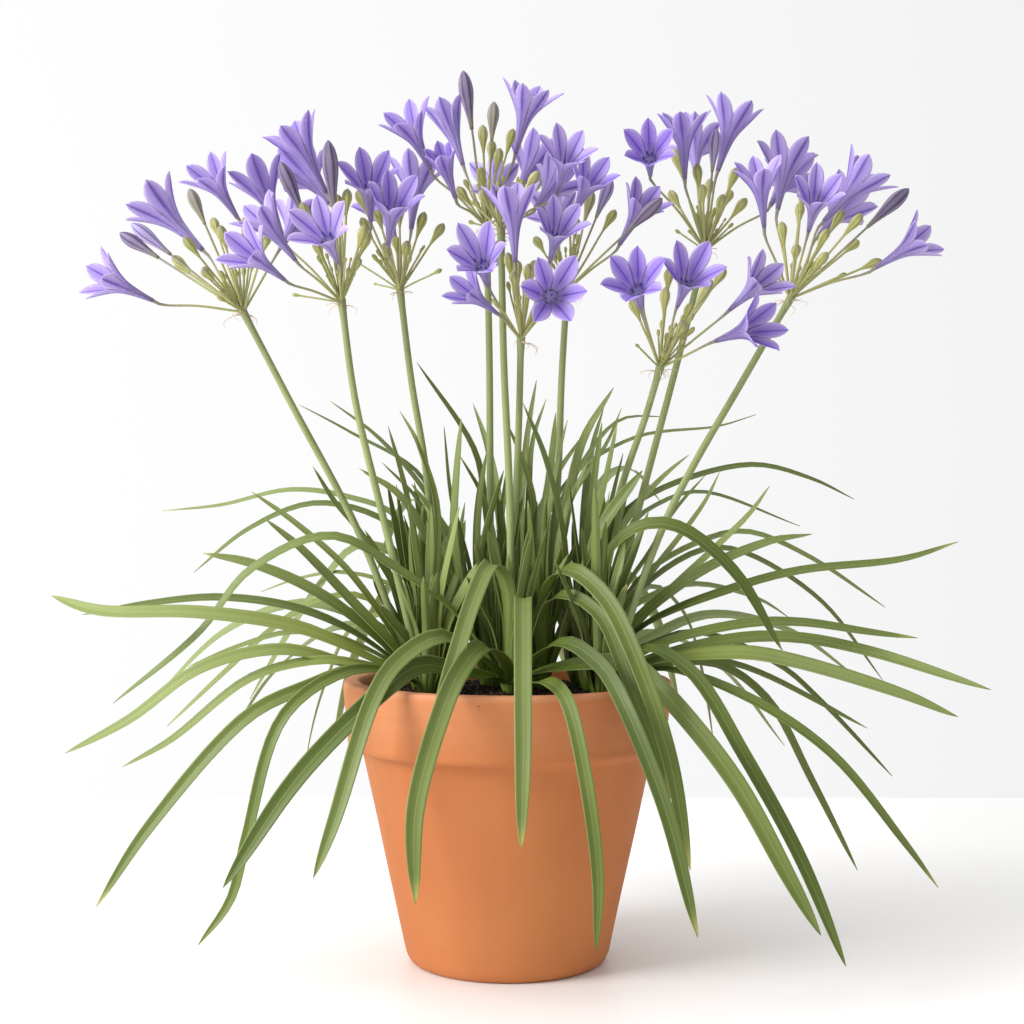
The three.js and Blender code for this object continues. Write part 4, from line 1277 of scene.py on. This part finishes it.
def smoother(sides):
    """Directions along a blade, each drawn towards its neighbours."""
    before = [sides[0], *sides]
    after = [*sides[1:], sides[-1]]
    return [(back + here * 2 + ahead).normalized() for back, here, ahead in zip(before, sides, after)]


def blade_path(root, spots):
    """The middle of a blade: up out of the neck, then through its spots."""
    heading = (place(spots[-1]) - root).to_2d().normalized()
    outward = Vector((heading.x, heading.y, 0))
    foot = Vector((root.x, root.y, SOIL_TOP - 1)) + outward * 2
    collar = Vector((root.x, root.y, NECK_TOP - 2)) + outward * 5
    return Path([foot, collar, *(place(spot) for spot in spots)])


def blade_ring(centre, side, face, half, share, keel):
    """A blade's cross section: a channel folded along its keel."""
    fold = FOLD_TIP + (FOLD_BASE - FOLD_TIP) * math.exp(-share / FOLD_REACH)
    thick = BLADE_THICK * mixed(1, 0.45, eased(0.7, 1, share))
    upper = []
    lower = []
    for across in SECTION:
        rise = half * math.sin(fold) * abs(across) ** 1.2 - (keel - BLADE_THICK) * min(1, half / 2)
        spot = centre + side * (half * across * math.cos(fold * 0.6)) + face * rise
        upper.append(spot)
        lower.append(spot - face * thick * (1.25 - 0.75 * abs(across)))
    return upper + lower[::-1]


def blade(skin, root, width, spots, chance):
    """One grassy leaf: a keeled, channelled strip along its arch."""
    path = blade_path(root, spots)
    span = path.points[-1] - path.points[0]
    span.z = 0
    span.normalize()
    level = span.cross(UP).normalized()
    frontal = eased(0.1, 0.5, -span.y)
    far_back = eased(10, 90, spots[-1][1])
    facing = mixed(SIDE_FACING, FRONT_FACING, frontal)
    taper = mixed(0.35, 0.2, frontal) + 0.3 * far_back
    keel = KEEL * min(1, 0.5 + width / 18)
    widest = width * mixed(1, FRONT_SLIM, frontal) / 2
    twist = chance.uniform(-MOST_TWIST, MOST_TWIST)
    steps = max(14, int(path.length / 7))
    shares = [1 - (1 - share) ** 1.15 for share in even_shares(steps)]
    spine = [path.at(share) for share in shares]
    sides = [
        blade_side(along, level, facing * min(1, 3 * share)) for share, (_, along) in zip(shares, spine)
    ]
    for _ in range(SMOOTH_ROUNDS):
        sides = smoother(sides)
    rings = []
    for share, (centre, along), side in zip(shares, spine, sides):
        side = Matrix.Rotation(twist * share, 3, along) @ square_to(along, side)
        face = side.cross(along).normalized()
        half = max(0.12, widest * blade_width(share, taper))
        rings.append(blade_ring(centre, side, face, half, share, keel))
    yellowed = chance.choice(YELLOWED_TIPS)
    tone = chance.uniform(mixed(0.3, 0.05, frontal), mixed(0.9, 0.5, frontal))
    pale = far_back * 0.55 + chance.uniform(0, 0.12)
    skin.strip(rings, two_faced_seams(SECTION), shares, (tone, yellowed, pale))


def neck(skin, root):
    """The green neck of leaf bases where a clump leaves the soil."""
    outline = [
        (3.4, SOIL_TOP - 6), (3.5, SOIL_TOP + 1), (3.3, SOIL_TOP + 6), (2.9, NECK_TOP), (2.0, NECK_TOP + 7),
        (0.6, NECK_TOP + 15),
    ]
    sides = 14
    rings = []
    for radius, height in outline:
        ring = []
        for turn in ring_turns(sides):
            reach = radius * (1 + 0.04 * math.cos(5 * turn))
            ring.append(Vector((root.x + reach * math.cos(turn), root.y + reach * math.sin(turn), height)))
        rings.append(ring)
    skin.strip(rings, round_seams(sides), [0, 0.01, 0.02, 0.03, 0.05, 0.08], (0.4, 0, 0))


def young_leaves(skin, root, chance):
    """The short narrow leaves that crowd the heart of a clump."""
    for number in range(YOUNG_LEAVES):
        turn = math.tau * number / YOUNG_LEAVES + chance.uniform(-0.4, 0.4)
        out = Vector((math.cos(turn), 0.7 * math.sin(turn)))
        lean = chance.uniform(*YOUNG_LEAN)
        rise = chance.uniform(*YOUNG_RISE)
        spots = [
            [root.x + out.x * lean * share, root.y + out.y * lean * share, NECK_TOP + rise * share ** 0.85]
            for share in (0.4, 0.72, 1)
        ]
        blade(skin, root, chance.uniform(*YOUNG_WIDTH), spots, chance)


def foliage(key, clump, finish):
    """All leaves of a clump and the neck that they rise from."""
    skin = Skin()
    root = Vector((*clump["root"], 0))
    neck(skin, root)
    for number, (owner, width, *spots) in enumerate(LEAVES):
        if owner == key:
            blade(skin, root, width, spots, random.Random(100 + number))
    young_leaves(skin, root, random.Random(f"young {key}"))
    return piece_of(f"leaves_{key}", skin.mesh(f"leaves_{key}"), finish)


# Stems: the scape, its hub, the stalks, the bracts and the buds

SCAPE_STEPS = 26
SCAPE_SLIM = 0.9
SCAPE_TAPER = 0.4
STALK_STEPS = 10
YOUNG_BUDS = 14
YOUNG_BUD_STALK = 0.72
YOUNG_BUD_SLIM = 0.17
YOUNG_BUD_LENGTH = (3.5, 8)
YOUNG_BUD_REACH = (9, 26)
BRACTS = 7
BRACT_STEPS = 12
BRACT_REACH = (3, 9.5)
BRACT_THICK = (0.27, 0.08)

# The top of a scape: how far it rises past the middle of the hub, and how thick its last
# points are, as shares of the hub's radius

HUB_RISE = (1.6, 3.2, 4.4)
HUB_SWELL = (0.56, 0.7, 0.72, 0.5, 0.08)

# How a stalk widens at its end to take a flower

FLOWER_SEAT = [0.78, 1.0]

# The lengths of the paler buds, which are about to open

PALE_BUDS = (26, 22)


def scape(lines, clump):
    """A clump's scape with its hub. It gives the hub's place and the way the scape ends."""
    hub = place(clump["hub"])
    foot = Vector((*clump["root"], NECK_TOP - 12))
    path = Path([foot, *(place(spot) for spot in clump["scape"]), hub])
    lean = path.at(1)[1]
    points = path.run(SCAPE_STEPS) + [hub + lean * rise for rise in HUB_RISE]
    thick = [
        SCAPE_SLIM * (SCAPE_RADIUS - SCAPE_TAPER * step / SCAPE_STEPS) for step in range(SCAPE_STEPS - 1)
    ]
    thick.extend(HUB_RADIUS * share for share in HUB_SWELL)
    lines.add(points, thick, lambda share: (share, 0, 0.15 * eased(0.5, 1, share)))
    return hub, lean


def stalk_points(start, foot, along, chance):
    """A stalk's nearly straight run from the hub to what it carries."""
    reach = (foot - start).length
    first = (foot - start).normalized()
    bend = Vector((chance.uniform(-1, 1), chance.uniform(-1, 1), chance.uniform(-0.2, 1))) * reach * 0.012
    knots = [start, start + first * reach * 0.5 + bend, foot - along * reach * 0.12, foot]
    return Path(knots, steps=6).run(STALK_STEPS)


def stalk_widths(steps):
    """A stalk's thickness along it, a little less towards the end."""
    return [PEDICEL_RADIUS * mixed(0.95, 0.85, share) for share in even_shares(steps)]


def flower_stalks(lines, clump, hub, chance):
    """The stalks that carry a clump's flowers."""
    widths = stalk_widths(STALK_STEPS - len(FLOWER_SEAT)) + FLOWER_SEAT
    for foot, mouth, _, _ in flower_rows(clump):
        bloom = Bloom(foot, mouth)
        run = stalk_points(hub, bloom.base + bloom.axis * 0.5, bloom.axis, chance)
        lines.add(run, widths, lambda share: (0.5, 1, 0.7 * eased(0.5, 1, share)))


def buds(lines, copies, clump, hub, chance):
    """A clump's buds on their stalks."""
    widths = stalk_widths(STALK_STEPS)
    for tip, length in clump["buds"]:
        end = place(tip)
        along = (end - hub).normalized()
        base = end - along * length
        near = eased(15, 24, length)
        run = stalk_points(hub, base + along * 0.6, along, chance)
        lines.add(run, widths, lambda share: (0.5, 1, 0.75 * near * eased(0.4, 1, share)))
        radius = BUD_RADIUS * (0.72 + length / 60) * mixed(1.0, 1.12, near)
        pale = 1 if length in PALE_BUDS else 0
        copies.add(base, along, radius, length, (near, chance.uniform(0, 1), pale))


def young_buds(lines, copies, hub, lean, chance):
    """The smallest buds, which crowd the heart of an umbel."""
    for _ in range(YOUNG_BUDS):
        spread = Vector((chance.gauss(0, 0.5), chance.gauss(0, 0.5), chance.gauss(0, 0.3)))
        along = (lean + spread).normalized()
        length = chance.uniform(*YOUNG_BUD_LENGTH)
        base = hub + along * chance.uniform(*YOUNG_BUD_REACH)
        run = stalk_points(hub, base + along * 0.4, along, chance)
        lines.add(run, [PEDICEL_RADIUS * YOUNG_BUD_STALK] * len(run), lambda share: (0.5, 1, 0))
        copies.add(base, along, length * YOUNG_BUD_SLIM, length, (0, chance.uniform(0, 1), 0))


def bracts(key, hub, lean, chance, layouts, finishes):
    """The thin papery threads that curl under the hub."""
    lines = Lines()
    widths = [mixed(*BRACT_THICK, share) for share in even_shares(BRACT_STEPS)]
    for number in range(BRACTS):
        turn = number * math.tau / BRACTS + chance.uniform(-0.6, 0.6)
        outward = around(1, turn)
        reach = chance.uniform(*BRACT_REACH)
        drop = chance.uniform(-0.6, 0.9)
        curl = Vector((-outward.y, outward.x, 0)) * chance.uniform(-5, 5)
        knots = [
            hub - lean * 1.5 + outward * 1.8,
            hub + outward * (2.2 + reach * 0.4) - UP * (1 + reach * 0.2 * drop) + curl * 0.3,
            hub + outward * (2.2 + reach * 0.8) - UP * (2 + reach * 0.5 * drop) + curl,
            hub + outward * (1.8 + reach * 0.75) - UP * (3 + reach * 0.8 * drop) + curl * 0.2,
        ]
        lines.add(Path(knots, steps=5).run(BRACT_STEPS), widths, lambda share: (share, 0, 0))
    return lines.stems(layouts["lines"], f"bracts_{key}", finishes["bract"], 5)


def stems(key, clump, layouts, shapes, finishes):
    """A clump's scape, stalks, bracts and buds."""
    chance = random.Random(f"stems {key}")
    lines = Lines()
    copies = Copies()
    hub, lean = scape(lines, clump)
    flower_stalks(lines, clump, hub, chance)
    buds(lines, copies, clump, hub, chance)
    young_buds(lines, copies, hub, lean, chance)
    return joined(f"stems_{key}", [
        lines.stems(layouts["lines"], f"stems_{key}", finishes["stem"], 9),
        copies.pieces(layouts["copies"], f"buds_{key}", shapes["bud"], finishes["bud"]),
        bracts(key, hub, lean, chance, layouts, finishes),
    ])


def bud_shape():
    """A ribbed bud of unit size: a slim foot that swells and closes to a blunt point."""
    outline = [
        (0.26, 0), (0.31, 0.07), (0.4, 0.17), (0.54, 0.29), (0.71, 0.41), (0.88, 0.52), (0.985, 0.62),
        (1, 0.7), (0.93, 0.79), (0.75, 0.88), (0.46, 0.95), (0.12, 1),
    ]
    sides = 18
    rings = []
    for radius, height in outline:
        ring = []
        for turn in ring_turns(sides):
            reach = radius * (1 + 0.05 * math.cos(6 * turn)) / MM
            ring.append(around(reach, turn, height / MM))
        rings.append(ring)
    skin = Skin()
    skin.strip(rings, round_seams(sides), [height for _, height in outline], NO_LOOK)
    return skin.shape("bud")


# Flowers

# The middle of a tepal from the foot to the tip as shares of the flower's length: how far
# along the axis and how far out from it. After that, where its free part begins and where
# that is broadest, and how far out a tepal stands where the free parts meet.

TEPAL_LINE = [
    (0, 0.022), (0.12, 0.034), (0.26, 0.052), (0.4, 0.076), (0.5, 0.104), (0.6, 0.148),
    (0.7, 0.206), (0.8, 0.272), (0.9, 0.338), (0.97, 0.392),
]
TEPAL_FREE = 0.5
TEPAL_BROAD = 0.77
NOTCH_OUT = 0.118

# How much a tepal may flare and bend back, and how much its margins may wave and its tip sway

TEPAL_FLARE = (0.9, 1.1)
TEPAL_REFLEX = (-0.01, 0.035)
MOST_WAVE = 0.5
MOST_SWAY = 0.06

# A tepal's cross section: its points in half widths, the steps along it, how much wider it is
# than in the solids, its thickness, how far its foot wraps round the tube, and how far the
# outer three stand off

TEPAL_ACROSS = [-1, -0.72, -0.42, -0.14, 0.14, 0.42, 0.72, 1]
TEPAL_STEPS = 18
TEPAL_SWELL = 1.08
TEPAL_THICK = 0.32
TUBE_TURN = math.radians(34)
OUTER_STAND_OFF = 0.14

# The closing of the throat: how far along the flower and how wide, and the pattern's v there

THROAT = [
    (0.3, 0.03, 0.4), (0.4, 0.066, 0.4), (0.475, 0.088, 0.42), (0.44, 0.03, 0.36), (0.46, 0.012, 0.36),
]
STAMENS = 6


class Bloom:
    """The foot, the axis and the length of a flower, with two directions square to its axis."""

    def __init__(self, foot, mouth):
        self.base = place(foot)
        self.axis = place(mouth) - self.base
        self.length = self.axis.length
        self.axis.normalize()
        self.across = self.axis.cross(UP).normalized()
        self.over = self.across.cross(self.axis).normalized()

    def outward(self, angle):
        """The direction away from the axis at an angle about it."""
        return self.over * math.cos(angle) + self.across * math.sin(angle)

    def spot(self, along, out, angle):
        """A place given in shares of the length."""
        return self.base + self.axis * (along * self.length) + self.outward(angle) * (out * self.length)


def flower_rows(clump):
    """Each flower's foot, mouth, turn, and how far it is open."""
    return [(*row, 1) if len(row) == 3 else row for row in clump["flowers"]]


def tepal_width(share):
    """Half the width of a tepal's free part, as a share of its widest."""
    if share < TEPAL_BROAD:
        return mixed(0.56, 1, eased(TEPAL_FREE - 0.04, TEPAL_BROAD, share))
    return max(0.0, 1 - ((share - TEPAL_BROAD) / (1 - TEPAL_BROAD)) ** 2.3) ** 0.8


def spread_out(out, opened):
    """How far a tepal stands out where its flower is not fully open."""
    return min(out, NOTCH_OUT) + max(0, out - NOTCH_OUT) * opened


def tepal_path(bloom, outward, outer, opened, flare, reflex):
    """The middle of a tepal. The outer three bend back at the tip and the inner three less."""
    knots = []
    for along, out in TEPAL_LINE:
        free = eased(TEPAL_FREE, 1, along)
        out_here = spread_out(out, opened) * mixed(1, flare, free) + reflex * free ** 3 * 1.5
        along_here = along - reflex * free ** 3 * (0.5 if outer else -0.3)
        away = out_here * bloom.length + (OUTER_STAND_OFF if outer else 0)
        knots.append(bloom.base + bloom.axis * (along_here * bloom.length) + outward * away)
    return Path(knots, steps=5)


def tepal_ring(share, middle, sideways, inward, radius, lobe, wave):
    """A tepal's cross section: a part of the round tube, then a cupped and grooved lobe."""
    free = eased(TEPAL_FREE - 0.12, TEPAL_FREE + 0.2, share)
    upper = []
    lower = []
    for side in TEPAL_ACROSS:
        turn = side * TUBE_TURN
        tube_side = radius * math.sin(turn)
        tube_rise = radius * (1 - math.cos(turn))
        cup = 0.26 * lobe * side * side + 0.35 * wave * side * eased(0.6, 1, share)
        groove = -0.3 * math.exp(-(side / 0.2) ** 2) * eased(TEPAL_FREE, 0.7, share)
        spot = middle + sideways * mixed(tube_side, lobe * side, free)
        spot = spot + inward * (mixed(tube_rise, cup, free) + groove)
        thick = TEPAL_THICK * (1 - 0.55 * abs(side)) * mixed(1, 0.6, share)
        upper.append(spot)
        lower.append(spot - inward * thick)
    return upper + lower[::-1]


def tepal(skin, bloom, angle, outer, opened, chance, look):
    """One tepal as a thin closed strip: a sixth of the tube, then a free pointed lobe."""
    flare = chance.uniform(*TEPAL_FLARE)
    reflex = chance.uniform(*TEPAL_REFLEX)
    wave = chance.uniform(-MOST_WAVE, MOST_WAVE)
    sway = chance.uniform(-MOST_SWAY, MOST_SWAY)
    outward = bloom.outward(angle)
    sideways = bloom.axis.cross(outward).normalized()
    path = tepal_path(bloom, outward, outer, opened, flare, reflex)
    broad = TEPAL_WIDTH * TEPAL_SWELL * bloom.length * (0.94 if outer else 1.06)
    shares = even_shares(TEPAL_STEPS)
    rings = []
    for share in shares:
        middle, along = path.at(share)
        middle = middle + sideways * (sway * bloom.length * 0.3 * eased(TEPAL_FREE, 1, share))
        radius = max(0.3, (middle - bloom.base).cross(bloom.axis).length)
        inward = sideways.cross(along).normalized()
        if inward.dot(outward) > 0:
            inward.negate()
        lobe = broad * max(0.03, tepal_width(share))
        rings.append(tepal_ring(share, middle, sideways, inward, radius, lobe, wave))
    skin.strip(rings, two_faced_seams(TEPAL_ACROSS), shares, look)


def throat(skin, bloom, tone):
    """The pale crown of filament feet that closes the tube below the mouth."""
    sides = 12
    rings = [[bloom.spot(along, radius, turn) for turn in ring_turns(sides)] for along, radius, _ in THROAT]
    skin.strip(rings, [(0.35, 0.35)] * sides, [share for _, _, share in THROAT], (tone, 0.5, 0))


def flower(skin, foot, mouth, turn, opened, chance):
    """A narrow trumpet that opens into six pointed tepals in two whorls."""
    bloom = Bloom(foot, mouth)
    tone = chance.uniform(0, 1)
    cast = chance.uniform(0, 1)
    for number in range(6):
        angle = math.radians(turn) + number * math.pi / 3
        look = (min(1, max(0, tone + chance.uniform(-0.15, 0.15))), cast, 0)
        tepal(skin, bloom, angle, number % 2 == 0, opened, chance, look)
    throat(skin, bloom, tone)


def stamen_shape():
    """A stamen of unit length: a flat thread that carries a long anther."""
    outline = [
        (0.05, 0), (0.045, 0.3), (0.04, 0.56), (0.1, 0.58), (0.15, 0.68), (0.145, 0.84), (0.1, 0.96),
        (0.03, 1),
    ]
    sides = 6
    rings = [
        [
            Vector((radius * math.cos(turn), 0.6 * radius * math.sin(turn), height)) / MM
            for turn in ring_turns(sides)
        ]
        for radius, height in outline
    ]
    skin = Skin()
    skin.strip(rings, [(0, 1)] * sides, [height for _, height in outline], NO_LOOK)
    return skin.shape("stamen")


def stamens(key, clump, layouts, shapes, finishes):
    """Six stamens in each throat of a clump's flowers, and the style between them."""
    chance = random.Random(f"stamens {key}")
    copies = Copies()
    for foot, mouth, turn, opened in flower_rows(clump):
        bloom = Bloom(foot, mouth)
        for number in range(STAMENS + 1):
            angle = math.radians(turn) + (number + 0.5) * math.pi / 3
            centred = number == STAMENS
            start = bloom.spot(0.36 if number % 2 else 0.42, 0.0 if centred else 0.05, angle)
            tall = 0.18 * bloom.length * chance.uniform(0.8, 1.15)
            lean = 0.0 if centred else chance.uniform(0.05, 0.3) * opened
            facing = (bloom.axis + bloom.outward(angle) * lean).normalized()
            copies.add(start, facing, tall * 0.5, tall * (1.2 if centred else 1))
    return copies.pieces(layouts["copies"], f"stamens_{key}", shapes["stamen"], finishes["stamen"])


def flowers(key, clump, layouts, shapes, finishes):
    """All open flowers of a clump."""
    skin = Skin()
    for number, row in enumerate(flower_rows(clump)):
        flower(skin, *row, random.Random(f"flower {key}{number}"))
    blooms = piece_of(f"flowers_{key}", skin.mesh(f"flowers_{key}"), finishes["tepal"])
    return joined(f"flowers_{key}", [blooms, stamens(key, clump, layouts, shapes, finishes)])


def plant():
    """All ten clumps."""
    layouts = {"lines": line_layout(), "copies": copy_layout()}
    shapes = {"bud": bud_shape(), "stamen": stamen_shape()}
    finishes = {
        "leaf": leaf_finish(),
        "stem": stem_finish(),
        "bud": bud_finish(),
        "tepal": tepal_finish(),
        "bract": plain_finish("bract", "C9AB8C", "E0CBB0", 200, 0.6),
        "stamen": stamen_finish(),
    }
    for key, clump in CLUMPS.items():
        leaves = foliage(key, clump, finishes["leaf"])
        shoots = stems(key, clump, layouts, shapes, finishes)
        blooms = flowers(key, clump, layouts, shapes, finishes)
        for made, slot in ((leaves, "leaf"), (shoots, "leaf"), (blooms, "tepal")):
            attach(made, "root")
        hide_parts(f"clump_{key}")
        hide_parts(f"clump_{key}")
        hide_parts(*(f"bloom_{key}{number + 1}" for number in range(len(clump["flowers"]))))
    for shape in shapes.values():
        bpy.data.objects.remove(shape)


# The stage, the light and the camera, in metres

FLOOR_HALF_WIDTH = 6.0
FLOOR_DEPTH = 3.0
FLOOR_BACK = 0.471
SKY_SLOPE = (-0.19, 0.2, 0)
SKY_LEVEL = 0.76
LAMP_AIM = (0, 0, 0.2)
LENS = 59.6
SENSOR_WIDTH = 36
DOWNWARD_TILT = 0.4


def stage():
    """A pale floor that ends in a straight line behind the pot."""
    front = FLOOR_BACK - FLOOR_DEPTH
    corners = [
        (-FLOOR_HALF_WIDTH, front, 0), (FLOOR_HALF_WIDTH, front, 0),
        (FLOOR_HALF_WIDTH, FLOOR_BACK, 0), (-FLOOR_HALF_WIDTH, FLOOR_BACK, 0),
    ]
    mesh = bpy.data.meshes.new("floor")
    mesh.from_pydata(corners, [], [(0, 1, 2, 3)])
    white = plain_finish("floor", "F4F3F2", "F6F5F4", 3, 0.35)
    piece_of("floor", mesh, white)


def lamp(name, spot, size, power):
    """A soft square lamp aimed at the plant."""
    data = bpy.data.lights.new(name, "AREA")
    data.shape = "RECTANGLE"
    data.size = size
    data.size_y = size
    data.energy = power
    made = bpy.data.objects.new(name, data)
    made.location = spot
    made.rotation_euler = (Vector(LAMP_AIM) - Vector(spot)).to_track_quat("-Z", "Y").to_euler()
    bpy.context.scene.collection.objects.link(made)


def light():
    """Soft daylight from the left, with a surround that dims to the right and the front."""
    world = bpy.data.worlds.new("surround")
    world.use_nodes = True
    sky = Sheet(world.node_tree)
    heading = sky.node("ShaderNodeTexCoord")
    slope = sky.node("ShaderNodeVectorMath", {"operation": "DOT_PRODUCT"})
    sky.put(heading.outputs["Generated"], slope.inputs[0])
    sky.put(SKY_SLOPE, slope.inputs[1])
    background = world.node_tree.nodes["Background"]
    sky.put((1, 1, 1, 1), background.inputs["Color"])
    sky.put(Value(sky, slope.outputs["Value"]) + SKY_LEVEL, background.inputs["Strength"])
    bpy.context.scene.world = world
    lamp("key", (-1.6, -0.8, 1.1), 0.9, 40)
    lamp("top", (-0.2, -0.1, 1.9), 1.2, 8)


def camera():
    """The photograph's view: level with the middle of the plant, from the front."""
    data = bpy.data.cameras.new("camera")
    data.sensor_width = SENSOR_WIDTH
    data.lens = LENS
    data.clip_start = 0.01
    made = bpy.data.objects.new("camera", data)
    made.location = (VIEW_ACROSS * MM, -VIEW_BACK * MM, VIEW_UP * MM)
    made.rotation_euler = (math.radians(90 - DOWNWARD_TILT), 0, 0)
    bpy.context.scene.collection.objects.link(made)
    bpy.context.scene.camera = made


camera()
light()
stage()
pot(clay_finish())
soil(soil_finish(), crumb_layout(), crumb_shape())
plant()
bpy.context.scene.view_settings.view_transform = "Standard"
